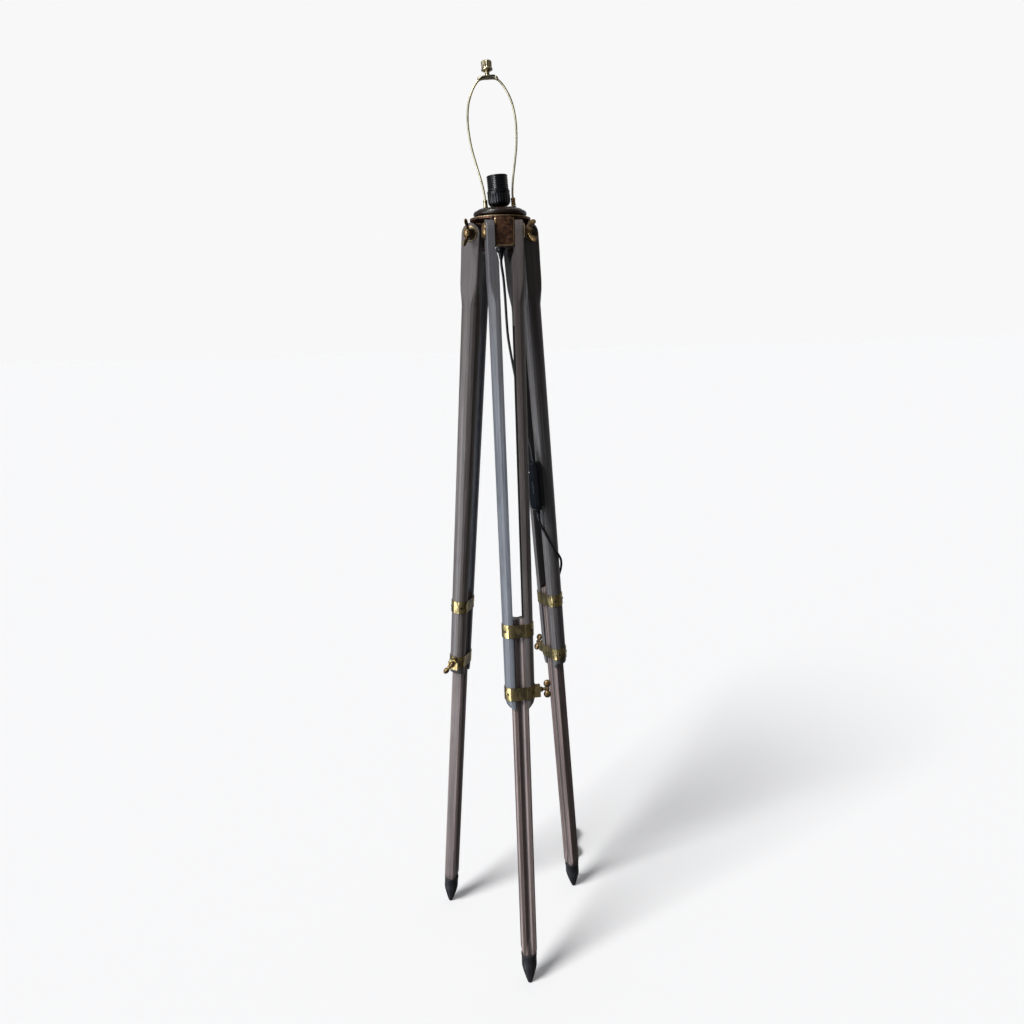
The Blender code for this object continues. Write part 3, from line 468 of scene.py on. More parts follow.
def wood(name, matrix, seed, dark, light, wash, edge=None):
    """Weathered timber: long fine grain, darker pores, a grey wash and darker patches, and
    painted shade near the pivot. With edge, half a slider's width and half its depth, it adds
    corners lightened partly by wear and partly as painted highlight, painted shade in the groove,
    painted highlights on its two lips and painted shadow in the joint beside each stile."""
    g = Graph(name)
    place = g.frame(matrix)
    offset = (seed * 1.7, seed * 2.3, seed * 0.9)
    grain = g.noise(g.scaled(place, (260, 260, 6), offset), 1, 7, 0.62, 0.4)
    streaks = g.noise(g.scaled(place, (60, 60, 1.6), offset), 1, 4, 0.5, 0.8)
    clouds = g.noise(g.scaled(place, (12, 12, 5), offset), 1, 4)
    pores = g.noise(g.scaled(place, (900, 900, 22), offset), 1, 2)
    colour = g.mix(g.range(grain, 0.30, 0.72), dark, light)
    colour = g.mix(g.range(streaks, 0.42, 0.68, 0, 0.55), colour, wash)
    colour = g.mix(g.range(clouds, 0.50, 0.75, 0, 0.45), colour, dark)
    pore_mask = g.range(pores, 0.30, 0.40, 0.75, 0)
    colour = g.mix(pore_mask, colour, toned(dark, 0.35))
    x, y, z = g.split(place)
    # painted shade: the timber is darkened near the pivot, under the head, and pales down the leg
    under_head_shade = g.range(g.math("MULTIPLY", z, -1), 0.02, 0.50, 0.62, 0)
    colour = g.mix(under_head_shade, colour, (0.058, 0.045, 0.040))
    if edge:
        wide, deep = edge
        across = g.math("ABSOLUTE", y)
        over = g.math("ADD", g.math("ABSOLUTE", x), across)
        # partly wear, partly painted highlight: the slider's corners are lightened
        rub_and_highlight = g.range(over, wide + deep - 0.0042, wide + deep - 0.0018, 0, 0.75)
        patchy_rub_and_highlight = g.math("MULTIPLY", rub_and_highlight, g.range(clouds, 0.35, 0.55, 0.35, 1))
        colour = g.mix(patchy_rub_and_highlight, colour, toned(light, 2.1))
        # painted shade: the groove down the slider's middle is darkened
        groove_shade = g.math("SUBTRACT", 1.0, g.range(across, 0.0010, 0.0042))
        colour = g.mix(g.math("MULTIPLY", groove_shade, 0.80), colour, toned(dark, 0.3))
        # painted highlight: the two lips beside the groove are lightened
        lip = g.math("SUBTRACT", g.range(across, 0.0040, 0.0052),
                     g.range(across, 0.0068, 0.0080))
        colour = g.mix(g.math("MULTIPLY", lip, 0.40), colour, toned(light, 2.0))
        # painted shadow: the joint beside each stile is darkened, only between the stiles
        joint_shadow = g.range(across, wide - 0.0045, wide - 0.0025, 0, 0.90)
        inside = g.range(g.math("MULTIPLY", z, -1), STILE_END - 0.006, STILE_END, 1, 0)
        colour = g.mix(g.math("MULTIPLY", joint_shadow, inside), colour, toned(dark, 0.2))
    normal = g.bump(grain, 0.0004, 0.5)
    normal = g.bump(pores, 0.0003, 0.35, normal)
    rough = g.range(clouds, 0.3, 0.7, 0.36, 0.52)
    return g.done(Base_Color=colour, Roughness=rough, Normal=normal, Specular_IOR_Level=0.5)


def metal(name, base, tarnish, matrix=None, rough=(0.26, 0.42), worn=(0.42, 0.62), dents=0.0006,
          tarnish_metallic=0.7, spot=900, middle=0.0):
    """Cast or rolled metal whose tarnish lies in clouds and small spots; with middle, painted
    shade darkens its middle.
    """
    g = Graph(name)
    place = g.frame(matrix) if matrix else g.place
    clouds = g.noise(g.scaled(place, (75, 75, 40)), 1, 6, 0.6, 0.6)
    specks = g.noise(place, spot, 3)
    brushed = g.noise(g.scaled(place, (700, 700, 25)), 1, 3)
    mask = g.range(clouds, worn[0], worn[1])
    mask = g.math("MAXIMUM", mask, g.range(specks, 0.60, 0.68, 0, 0.8))
    # painted shade: with middle, the metal is darkened over its middle, across y
    if middle:
        across = g.math("ABSOLUTE", g.split(place)[1])
        painted_middle_shade = g.range(across, middle * 0.7, middle * 1.4, 0.95, 0)
        painted_middle_shade = g.math("MULTIPLY", painted_middle_shade, g.range(clouds, 0.3, 0.5, 0.6, 1))
        mask = g.math("MAXIMUM", mask, painted_middle_shade)
    colour = g.mix(mask, base, tarnish)
    colour = g.mix(g.range(brushed, 0.35, 0.65, 0, 0.22), colour, toned(base, 0.55))
    dent = g.noise(g.scaled(place, (130, 130, 60)), 1, 2)
    normal = g.bump(dent, dents, 0.8)
    normal = g.bump(brushed, 0.00006, 0.5, normal)
    roughness = g.math("ADD", g.range(brushed, 0.3, 0.7, *rough), g.math("MULTIPLY", mask, 0.14))
    metallic = g.range(mask, 0, 1, 1, tarnish_metallic)
    return g.done(Base_Color=colour, Roughness=roughness, Metallic=metallic, Normal=normal)


def moulded(name, base, rough, matrix=None, fleck=0.0, coat=0.0):
    """Rubber, bakelite or plastic, with scuffs that run along it and a faint orange peel."""
    g = Graph(name)
    place = g.frame(matrix) if matrix else g.place
    scuffs = g.noise(g.scaled(place, (420, 420, 14)), 1, 4, 0.6)
    peel = g.noise(place, 900, 2)
    clouds = g.noise(place, 45, 4)
    colour = g.mix(g.range(scuffs, 0.56, 0.72, 0, fleck), base, tuple(c * 3 + 0.03 for c in base))
    colour = g.mix(g.range(clouds, 0.45, 0.7, 0, 0.4), colour, toned(base, 0.6))
    normal = g.bump(peel, 0.00008, 0.4)
    rough_out = g.math("ADD", g.range(clouds, 0.3, 0.7, rough[0], rough[1]),
                       g.range(scuffs, 0.5, 0.7, 0, 0.12))
    return g.done(Base_Color=colour, Roughness=rough_out, Normal=normal, Coat_Weight=coat,
                  Specular_IOR_Level=0.38)


def bronze_casting():
    """Dark bronze, mottled on its faces, with its edges lightened partly as polish where hands
    and pieces rub them and partly as painted highlight.
    """
    g = Graph("bronze_casting")
    mottle = g.noise(g.place, 190, 7, 0.65, 0.5)
    blots = g.noise(g.place, 60, 4)
    pits = g.noise(g.place, 1100, 2)
    colour = g.mix(g.range(mottle, 0.38, 0.66), (0.045, 0.024, 0.016), (0.200, 0.096, 0.052))
    colour = g.mix(g.range(blots, 0.52, 0.72, 0, 0.6), colour, (0.21, 0.115, 0.055))
    x, y, z = g.split(g.frame(HEAD))
    # partly wear, partly painted highlight: the flange's rim and the lugs' edges are lightened
    rim = g.math("MULTIPLY", g.range(g.reach(x, y), 0.0530, 0.0552), g.range(z, 1.5155, 1.5162))
    edge = g.math("MAXIMUM", rim, lug_edges(g))
    edge = g.math("MULTIPLY", edge, g.range(mottle, 0.30, 0.52, 0.35, 1))
    colour = g.mix(edge, colour, (0.64, 0.49, 0.27))
    normal = g.bump(mottle, 0.0005, 0.5)
    normal = g.bump(pits, 0.0001, 0.5, normal)
    rough = g.range(mottle, 0.35, 0.65, 0.30, 0.46)
    return g.done(Base_Color=colour, Roughness=rough, Metallic=0.85, Normal=normal)


def lug_edges(g):
    """Near the four edges of each lug's outer face."""
    found = 0.0
    for leg in LEGS:
        x, y, z = g.split(g.frame(PIVOT[leg]))
        face = g.range(x, 0.0072, 0.0092)
        side = g.range(g.math("ABSOLUTE", y), 0.0150, 0.0172)
        low = g.range(g.math("MULTIPLY", z, -1), 0.0232, 0.0254)
        rim = g.math("MULTIPLY", face, g.math("MAXIMUM", side, low))
        found = g.math("MAXIMUM", found, rim)
    return found


def washer(leg):
    """A darkened washer or bolt head whose rim is worn bright."""
    g = Graph(leg + "_pivot_metal")
    place = g.frame(PIVOT[leg])
    x, _, z = g.split(place)
    mottle = g.noise(place, 260, 5)
    outer = g.range(g.reach(x, z), 0.0118, 0.0128)
    rim = g.math("MULTIPLY", outer, g.range(mottle, 0.3, 0.5, 0.45, 1))
    colour = g.mix(g.range(mottle, 0.35, 0.65), (0.020, 0.014, 0.010), (0.062, 0.043, 0.024))
    colour = g.mix(rim, colour, (0.60, 0.47, 0.24))
    normal = g.bump(mottle, 0.0004, 0.5)
    return g.done(Base_Color=colour, Roughness=0.34, Metallic=0.85, Normal=normal)


WASHER = {leg: washer(leg) for leg in LEGS}
BRASS_BASE, BRASS_DARK = (0.56, 0.44, 0.19), (0.042, 0.034, 0.019)
# the bands carry painted shade over their middle
BRASS = {
    leg: metal(leg + "_brass", BRASS_BASE, BRASS_DARK, LEG[leg], rough=(0.14, 0.26),
               worn=(0.38, 0.62), dents=0.0008, middle=0.0130)
    for leg in LEGS
}
CAST_BRASS = metal("cast_brass", (0.50, 0.33, 0.14), (0.060, 0.035, 0.018),
                   rough=(0.20, 0.34), worn=(0.32, 0.58))
HARP_BRASS = metal("harp_brass", (0.52, 0.45, 0.28), (0.070, 0.056, 0.034), LAMP,
                   rough=(0.16, 0.28), worn=(0.44, 0.70), dents=0.0002)
WIRE_BRASS = metal("wire_brass", (0.60, 0.54, 0.36), (0.26, 0.22, 0.13), LAMP,
                   rough=(0.36, 0.38), worn=(0.46, 0.70), dents=0.0, tarnish_metallic=0.9,
                   spot=160)
COPPERY = metal("coppery_brass", (0.62, 0.36, 0.14), (0.12, 0.06, 0.025), LAMP, dents=0.0002)
STEEL = metal("plated_steel", (0.58, 0.56, 0.52), (0.16, 0.14, 0.12), rough=(0.18, 0.30))
BRONZE = bronze_casting()
LACQUER = moulded("dark_lacquer", (0.015, 0.0075, 0.0040), (0.20, 0.30), HEAD, fleck=0.10,
                  coat=0.1)
BAKELITE = moulded("black_bakelite", (0.002, 0.0025, 0.004), (0.16, 0.26), LAMP)
CORD_RUBBER = moulded("cord_rubber", (0.004, 0.005, 0.007), (0.28, 0.40), fleck=0.06)
PLASTIC = moulded("switch_plastic", (0.003, 0.005, 0.008), (0.17, 0.27), LEG["right"], fleck=0.05)
SHOE_RUBBER = {
    leg: moulded(leg + "_shoe_rubber", (0.016, 0.016, 0.019), (0.38, 0.52), LEG[leg], fleck=0.9)
    for leg in LEGS
}
LENS = moulded("milky_lens", (0.78, 0.78, 0.76), (0.18, 0.25))
DARK_NAIL = metal("tarnished_nail", (0.060, 0.040, 0.020), (0.012, 0.009, 0.007),
                  rough=(0.40, 0.5))

BROWN_STILE = ((0.062, 0.051, 0.047), (0.150, 0.126, 0.117), (0.180, 0.169, 0.167))
# painted light: a cool, paler tone for the front stile lit from the left, which also lightens the
# left leg's shaded stile
COOL_LIT_STILE = ((0.080, 0.087, 0.099), (0.165, 0.176, 0.197), (0.200, 0.218, 0.250))
GREY_STILE = ((0.055, 0.050, 0.049), (0.136, 0.126, 0.123), (0.162, 0.158, 0.160))
SLIDER_WOOD = ((0.078, 0.056, 0.050), (0.175, 0.135, 0.124), (0.190, 0.168, 0.160))
STILE_TONES = {
    "front_stile_bolt_side": COOL_LIT_STILE,
    "front_stile_nut_side": BROWN_STILE,
    "right_stile_bolt_side": GREY_STILE,
    "right_stile_nut_side": GREY_STILE,
    "left_stile_bolt_side": COOL_LIT_STILE,
    "left_stile_nut_side": BROWN_STILE,
}


# ---- finishes on the fixed frame's own nodes --------------------------------------------
def repaint(name, finish):
    data = NODES[name].data
    data.materials.clear()
    data.materials.append(finish)


def round_edges(name, width, segments=2, angle=50):
    bevel = NODES[name].modifiers.new("rounded", "BEVEL")
    bevel.width = width
    bevel.segments = segments
    bevel.limit_method = "ANGLE"
    bevel.angle_limit = math.radians(angle)
    bevel.harden_normals = True


def finish_frame():
    for k, leg in enumerate(LEGS):
        for j, side in enumerate(("bolt_side", "nut_side")):
            name = f"{leg}_stile_{side}"
            seed = 3 * k + j + 1
            repaint(name, wood(name, LEG[leg], seed, *STILE_TONES[name]))
            round_edges(name, 0.0007)
        name = leg + "_sliding_leg"
        edge = (SLIDER_HALF_WIDTH, SLIDER_HALF_DEPTH)
        repaint(name, wood(name, LEG[leg], k + 11, *SLIDER_WOOD, edge))
        for band in ("_upper_band", "_lower_band"):
            repaint(leg + band, BRASS[leg])
            round_edges(leg + band, 0.0003)
        repaint(leg + "_pivot_bolt", WASHER[leg])
        repaint(leg + "_pivot_washer", WASHER[leg])
    repaint("head_casting", BRONZE)
    round_edges("head_casting", 0.0009, 3, 60)
    for name in ("lamp_pipe", "plug_pin_left", "plug_pin_right"):
        repaint(name, STEEL)
    for name in ("pipe_nut", "harp_saddle", "socket_sleeve", "socket_contact"):
        repaint(name, HARP_BRASS)
    for name in ("switch_base", "switch_cover", "switch_button"):
        repaint(name, PLASTIC)
        round_edges(name, 0.0009, 3, 30)
    repaint("switch_lamp", LENS)
    repaint("plug_body", CORD_RUBBER)


finish_frame()


# ---- leg outline, for pieces that lie on the stiles -------------------------------------
def part_way(low, high, share):
    return low + (high - low) * min(max(share, 0), 1)


def band_point(s, angle, side, lift=0.0):
    """A point and its outward direction on a stile's rounded face, in the leg's frame."""
    share = s / STILE_END
    shoulder = part_way(*GAP_HALF, (s - RUNOUT_END) / (STILE_END - RUNOUT_END)) + SHOULDER
    wide = part_way(*PAIR_HALF, share) - shoulder + lift
    deep = part_way(*DEPTH_HALF, share) + lift
    a = math.radians(angle)
    out = Vector((math.cos(a) / deep, side * math.sin(a) / wide, 0)).normalized()
    return Vector((deep * math.cos(a), side * (shoulder + wide * math.sin(a)), -s)), out


# ---- brass and bronze details -----------------------------------------------------------
STILL = Matrix.Identity(4)


def build_nails(leg):
    """Domed pins that hold each band to its stiles."""
    dome = [(0, 0.0011), (0.0011, 0.0010), (0.0020, 0.0006), (0.0025, 0), (0.0025, -0.0006)]
    dome.append((0, -0.0006))
    for row, s in (("upper", UPPER_BAND), ("lower", LOWER_BAND)):
        for side, label in ((1, "nut"), (-1, "bolt")):
            for angle in (40, 122):
                if row == "lower" and side == 1 and angle == 122:
                    continue  # the clamp screw's boss is there
                at, out = band_point(s, angle, side, GAP + BAND_THICK)
                turn = out.to_track_quat("Z", "Y").to_matrix().to_4x4()
                place = LEG[leg] @ Matrix.Translation(at) @ turn
                name = f"{leg}_{row}_nail_{label}_{angle}"
                nail = put(name, lathe(name, dome, 18), DARK_NAIL, place)
                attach(nail, leg + "_leg")


def remeshed(piece, voxel):
    """Fuses a piece's overlapping solids into one cast surface."""
    fuse = piece.modifiers.new("fused", "REMESH")
    fuse.mode = "VOXEL"
    fuse.voxel_size = voxel
    fuse.use_smooth_shade = True
    ease = piece.modifiers.new("eased", "SMOOTH")
    ease.factor = 0.5
    ease.iterations = 4


def merge(name, parts):
    """One mesh out of several, each moved by the matrix that comes with it."""
    bm = bmesh.new()
    for data, matrix in parts:
        data.transform(matrix)
        bm.from_mesh(data)
        bpy.data.meshes.remove(data)
    made = bpy.data.meshes.new(name)
    bm.to_mesh(made)
    bm.free()
    made.shade_smooth()
    return made


def petal(side):
    """A wing nut's wing: a flat oval section swept up and outwards, widest near its tip."""
    plan = [
        (0.0040, 0.0060, 0.0030, 0.0026),
        (0.0085, 0.0068, 0.0034, 0.0022),
        (0.0122, 0.0092, 0.0040, 0.0020),
        (0.0152, 0.0124, 0.0048, 0.0020),
        (0.0176, 0.0155, 0.0054, 0.0021),
        (0.0198, 0.0184, 0.0046, 0.0020),
        (0.0211, 0.0202, 0.0028, 0.0015),
        (0.0216, 0.0209, 0.0008, 0.0006),
    ]
    rings = []
    for k, (x, z, wide, thick) in enumerate(plan):
        ahead = plan[min(k + 1, len(plan) - 1)]
        behind = plan[max(k - 1, 0)]
        run = Vector((ahead[0] - behind[0], ahead[1] - behind[1])).normalized()
        ring = []
        for i in range(20):
            a = math.tau * i / 20
            off = wide * math.cos(a)
            ring.append((side * (x - run.y * off), thick * math.sin(a), z + run.x * off))
        rings.append(ring)
    return skin("petal", rings)


def build_wing_nut(leg):
    """Its axis is +Z here: a coned hub, a collar at its foot and two upturned wings."""
    hub = [(0, 0.0122), (0.0046, 0.0122), (0.0058, 0.0112), (0.0062, 0.0085), (0.0070, 0.0040)]
    hub += [(0.0080, 0.0022), (0.0084, 0.0010), (0.0082, 0.0001), (0, 0.0001)]
    parts = [(lathe("hub", hub, 40), STILL), (petal(1), STILL), (petal(-1), STILL)]
    name = leg + "_wing_nut_cast"
    seat = PAIR_HALF[0] + 2 * GAP + WASHER_THICK
    turn = Euler((-math.pi / 2, math.radians(WING_ANGLES[leg]), 0)).to_matrix().to_4x4()
    place = PIVOT[leg] @ Matrix.Translation((0, seat, 0)) @ turn
    nut = put(name, merge(name, parts), CAST_BRASS, place)
    remeshed(nut, FUSE_VOXEL)
    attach(nut, leg + "_wing")
    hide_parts(leg + "_wing_nut")
    stub = [(0, 0.0150), (0.0028, 0.0150), (0.0036, 0.0143), (0.0036, 0.0120), (0, 0.0120)]
    end = put(leg + "_bolt_end", lathe("bolt_end", stub, 24), CAST_BRASS, place)
    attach(end, "head")


def ball(radius, squash, count=18):
    profile = []
    for k in range(count + 1):
        a = math.pi * k / count
        profile.append((max(radius * math.sin(a), 0.0), radius * squash * math.cos(a)))
    profile[0] = (0, radius * squash)
    profile[-1] = (0, -radius * squash)
    return lathe("ball", profile, 28)


def build_thumb(leg):
    """A clamp screw: threaded shank, collar, waisted neck and two round lobes side by side."""
    out = part_way(*PAIR_HALF, LOWER_BAND / STILE_END)
    inner = SLIDER_HALF_WIDTH + GAP - out
    neck = [(0, 0.0300), (0.0034, 0.0292), (0.0044, 0.0255), (0.0036, 0.0205), (0.0030, 0.0170)]
    neck += [(0.0048, 0.0152), (0.0054, 0.0136), (0.0050, 0.0112), (0.0029, 0.0109)]
    neck += [(0.0029, inner), (0, inner)]
    parts = [(lathe("neck", neck, 32), STILL)]
    for side in (-1, 1):
        lobe = Matrix.Translation((side * 0.0108, 0, 0.0255))
        parts.append((ball(0.0076, 0.72), lobe @ Matrix.Rotation(math.pi / 2, 4, "X")))
    name = leg + "_thumb_screw_cast"
    turn = Matrix.Rotation(-math.pi / 2, 4, "X")
    edge_on = Matrix.Rotation(math.pi / 2, 4, "Z")
    left_at = Matrix.Rotation(math.radians(THUMB_ANGLES[leg]), 4, "Y")
    place = LEG[leg] @ Matrix.Translation((0, out, -LOWER_BAND)) @ left_at @ turn @ edge_on
    thumb = put(name, merge(name, parts), CAST_BRASS, place)
    remeshed(thumb, FUSE_VOXEL)
    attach(thumb, leg + "_thumb")
    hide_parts(leg + "_thumb_screw")


def build_bolt_head(leg):
    """A raised ring on the pivot bolt's head."""
    seat = PAIR_HALF[0] + GAP
    ring = arc((0.0112, 0.0036), 0.0013, 200, -20, 9)
    profile = [(0.0080, 0.0022), *ring, (0.0140, 0.0016), (0.0146, 0.0008), (0.0146, 0.0001)]
    profile.append((0.0080, 0.0001))
    place = PIVOT[leg] @ Matrix.Translation((0, -seat, 0)) @ Matrix.Rotation(math.pi / 2, 4, "X")
    name = leg + "_bolt_head_ring"
    piece = put(name, lathe(name, profile, 56, looped=True), CAST_BRASS, place)
    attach(piece, "head")


def build_disc():
    """A turned disc with a stepped top, two fine grooves and a fat bead round its edge."""
    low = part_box("top_disc")[0].z
    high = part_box("top_disc")[1].z - low
    bead = arc((0.0435, 0.0072), 0.0050, 68, -58, 14)
    profile = [
        (0.0054, high),
        (0.0300, high),
        (0.0303, high - 0.0004),
        (0.0309, high - 0.0004),
        (0.0312, high),
        (0.0396, high),
        (0.0402, high - 0.0005),
        (0.0410, high - 0.0008),
        (0.0416, high - 0.0015),
        (0.0425, high - 0.0022),
        *bead,
        (0.0440, 0.0022),
        (0.0440, 0.0008),
        (0.0434, 0),
        (0.0054, 0),
    ]
    place = HEAD @ Matrix.Translation((0, 0, low))
    disc = put("turned_disc", lathe("turned_disc", profile, 112, looped=True), LACQUER, place)
    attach(disc, "head")
    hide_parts("top_disc")


def build_socket():
    """Ribbed bakelite base with a rounded foot, and a shell with a rolled outside thread."""
    def ribs(angle):
        return 0.00035 * math.cos(28 * angle)

    top = SOCKET_BASE_HIGH
    profile = [
        (0.0172, top), (0.0190, top), (0.0201, top - 0.0006), (0.0205, top - 0.0018),
        (0.0205, 0.0255), (0.0200, 0.0248), (0.0199, 0.0240), (0.0201, 0.0230),
        (0.0201, 0.0120), (0.0197, 0.0090), (0.0184, 0.0060), (0.0160, 0.0038),
        (0.0130, 0.0024), (0.0103, 0.0020), (0.0062, 0.0020), (0.0062, 0.0155), (0.0172, 0.0155),
    ]
    ripples = {k: ribs for k in (7, 8, 9)}
    base = put("ribbed_socket_base", lathe("ribbed_socket_base", profile, 168, True, ripples),
               BAKELITE, LAMP)
    low, high = top + GAP, top + SHELL_HIGH
    outer = [(0.0190, low), (0.0190, low + 0.0012)]
    turns, depth = 7, 0.00045
    steps = 8 * turns
    thread_low, thread_high = low + 0.0020, high - 0.0022
    for k in range(steps + 1):
        z = thread_low + (thread_high - thread_low) * k / steps
        outer.append((0.0186 + depth * math.cos(math.tau * turns * k / steps), z))
    outer += [(0.0188, high - 0.0010), (0.0181, high - 0.0001), (0.0172, high), (0.0156, high)]
    outer += [(0.0150, high - 0.0006), (0.0150, top - 0.006), (0.0168, top - 0.006)]
    outer.append((0.0168, low))
    shell = put("threaded_socket_shell", lathe("threaded_socket_shell", outer, 96, True),
                BAKELITE, LAMP)
    for piece, node in ((base, "socket_base"), (shell, "socket_shell")):
        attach(piece, "head")
        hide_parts(node)


def harp_line():
    half = [
        (HARP_FOOT, 0.0112), (HARP_FOOT, 0.0240), (0.0285, 0.0460), (0.0352, 0.0770),
        (0.0404, 0.1040), (0.0428, 0.1340), (0.0416, 0.1570), (0.0375, 0.1770),
        (0.0298, 0.1945), (0.0222, 0.2057), (0.0150, 0.2117), (0.0075, HARP_HIGH), (0, HARP_HIGH),
    ]
    loop = [(-x, 0, z) for x, z in half] + [(x, 0, z) for x, z in reversed(half[:-1])]
    return smooth_route(loop, 0.003)


def build_harp():
    wire = put("harp_bow", tube("harp_bow", harp_line(), HARP_WIRE, 16), WIRE_BRASS, LAMP)
    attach(wire, "harp")
    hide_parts("harp_wire")
    profile = [
        (0.0029, 0.0030), (0.0040, 0.0030), (0.0043, 0.0036), (0.0043, 0.0048),
        (0.0039, 0.0053), (0.0039, 0.0128), (0.0042, 0.0132), (0.0042, 0.0146),
        (0.0037, 0.0158), (0.0029, 0.0163), (0.0022, 0.0160), (0.0022, 0.0111), (0.0029, 0.0111),
    ]
    for side, label in ((-1, "left"), (1, "right")):
        name = f"harp_{label}_sleeve"
        finish = COPPERY if side == 1 else HARP_BRASS
        place = LAMP @ Matrix.Translation((side * HARP_FOOT, 0, 0))
        sleeve = put(name, lathe(name, profile, 40, True), finish, place)
        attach(sleeve, "harp")
        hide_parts(f"harp_ferrule_{label}")
    build_harp_bracket()
    build_finial()


def build_harp_bracket():
    """A pressed strip over the bow, with its two ends curled down round the wire."""
    seat = HARP_HIGH + HARP_WIRE + GAP
    centre = []
    for k in range(25):
        x = -0.0150 + 0.0280 * k / 24
        drop = max(abs(x) - 0.0070, 0)
        centre.append((x, seat + 0.0004 + 0.05 * x - 30 * drop**2))
    rings = []
    for k, (x, z) in enumerate(centre):
        half = 0.0062 - 0.0022 * min((abs(x) / 0.0150) ** 3, 1)
        lean = -60 * max(abs(x) - 0.0070, 0) * math.copysign(1, x)
        up = Vector((-lean, 0, 1)).normalized()
        ring = []
        for y, t in ((-1, 0), (-1, 1), (-0.8, 1.25), (0.8, 1.25), (1, 1), (1, 0), (0.8, -0.2),
                     (-0.8, -0.2)):
            ring.append(Vector((x, y * half, z)) + up * (0.0015 * t))
        rings.append(ring)
    parts = [(skin("strip", rings), STILL)]
    stud = [(0, 0.0152), (0.0026, 0.0152), (0.0030, 0.0146), (0.0030, 0.0008), (0, 0.0008)]
    stud = [(radius, seat + z) for radius, z in stud]
    parts.append((lathe("stud", stud, 24), STILL))
    for side in (-1, 1):
        curl = [(side * (0.0142 + a), 0.0, HARP_HIGH + 0.0004 + b) for a, b in
                ((-0.0004, 0.0012), (0.0012, 0.0002), (0.0018, -0.0016), (0.0010, -0.0032))]
        radii = [0.0030, 0.0031, 0.0029, 0.0024]
        parts.append((tube("curl", curl, radii, 14), STILL))
    bracket = put("harp_bracket", merge("harp_bracket", parts), HARP_BRASS, LAMP)
    remeshed(bracket, 0.0004)
    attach(bracket, "harp")
    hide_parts("harp_top_plate")


def build_finial():
    """A knurled knob on a thin neck with a turned foot."""
    def flutes(angle):
        return 0.0005 * math.cos(12 * angle)

    base = HARP_HIGH + HARP_WIRE + 0.0018 + 2 * GAP
    profile = [
        (0, 0.0232), (0.0060, 0.0236), (0.0080, 0.0233), (0.0088, 0.0224), (0.0090, 0.0212),
        (0.0087, 0.0180), (0.0086, 0.0140), (0.0090, 0.0118), (0.0099, 0.0106), (0.0102, 0.0096),
        (0.0099, 0.0086), (0.0084, 0.0078), (0.0062, 0.0072), (0.0046, 0.0064), (0.0041, 0.0052),
        (0.0040, 0.0022), (0.0048, 0.0014), (0.0050, 0.0002), (0.0034, 0), (0.0034, 0.0110),
        (0, 0.0110),
    ]
    ripples = {k: flutes for k in (4, 5, 6)}
    place = LAMP @ Matrix.Translation((0, 0, base))
    knob = put("knurled_finial", lathe("knurled_finial", profile, 112, ripples=ripples, sharp=60),
               HARP_BRASS, place)
    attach(knob, "finial_knob")
    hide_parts("finial")


# ---- shoes, gland, switch boots and hank strap ------------------------------------------
def build_shoe(leg):
    """A moulded rubber shoe: a lip round its mouth, then a body that tapers to a blunt toe on
    the floor, with shallow grooves down it."""
    top, radius = LEG_LENGTH - SHOE_LONG, SHOE_RADIUS
    bore = PEG_RADIUS + GAP
    profile = [(bore, -top), (radius - 0.0012, -top), (radius, -top - 0.0008)]
    profile += [(radius, -top - 0.0060), (radius - 0.0006, -top - 0.0068)]
    body_from, tip_radius = top + 0.0270, 0.0045
    end = top + SHOE_LONG - 0.0010
    for k in range(15):
        share = k / 14
        r = tip_radius + (radius - 0.0004 - tip_radius) * (1 - share**1.3)
        profile.append((r, -(body_from + (end - body_from) * share)))
    profile += [(0.0033, -LEG_LENGTH - 0.0012), (0, -LEG_LENGTH - 0.0012)]
    profile += [(0, -top - PEG_LONG - GAP), (bore, -top - PEG_LONG - GAP)]

    def grooves(angle):
        return -0.0006 * max(math.cos(9 * angle), 0) ** 3

    ripples = {k: grooves for k in range(5, 16)}
    name = leg + "_rubber_shoe"
    shoe = put(name, lathe(name, profile, 120, ripples=ripples), SHOE_RUBBER[leg], LEG[leg])
    for vertex in shoe.data.vertices:
        vertex.co.z = max(vertex.co.z, 0.0)
    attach(shoe, leg + "_lower_leg")
    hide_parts(leg + "_shoe")


def build_gland():
    """The sleeve where the cord leaves the lamp pipe, ribbed and tapering over the cord."""
    profile = [(0, 0), (0.0072, 0), (0.0088, -0.0008), (0.0092, -0.0020), (0.0092, -0.0060)]
    profile += [(0.0086, -0.0066), (0.0086, -0.0300), (0.0092, -0.0306), (0.0092, -0.0345)]
    profile += [(0.0082, -0.0375), (0.0062, -0.0392)]
    for k in range(5):
        z, r = -0.0392 - 0.0022 * k, 0.0058 - 0.0005 * k
        profile += [(r, z - 0.0004), (r - 0.0001, z - 0.0012), (r - 0.0008, z - 0.0015)]
        profile.append((r - 0.0009, z - 0.0021))
    profile += [(0.0031, -0.0508), (0, -0.0508)]
    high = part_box("cord_gland")[1].z
    place = HEAD @ Matrix.Translation((0, 0, high))
    gland = put("ribbed_gland", lathe("ribbed_gland", profile, 48), CORD_RUBBER, place)
    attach(gland, "head")
    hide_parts("cord_gland")
    return gland


def boot(name, line, body):
    """A ribbed strain relief along the cord's line, thick at start and thin at its far end."""
    points, gone = [], 0.0
    for k in range(1, len(line) - 1):
        points.append(line[k])
        reached = gone
        gone += (line[k + 1] - line[k]).length
        if gone > BOOT_LONG:
            break
    tip = BOOT_RADIUS + (BOOT_TIP - BOOT_RADIUS) * min(reached / BOOT_LONG, 1)
    fine = smooth_route(points, 0.0006)
    count = len(fine)
    ribs = []
    for k in range(count):
        r = BOOT_RADIUS + (tip - BOOT_RADIUS) * (k / (count - 1))
        ribs.append(r - (0.0007 if k % 5 in (3, 4) and 3 < k < count - 3 else 0))
    piece = put(name, tube(name, fine, ribs, 24), CORD_RUBBER)
    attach(piece, body)
    return piece


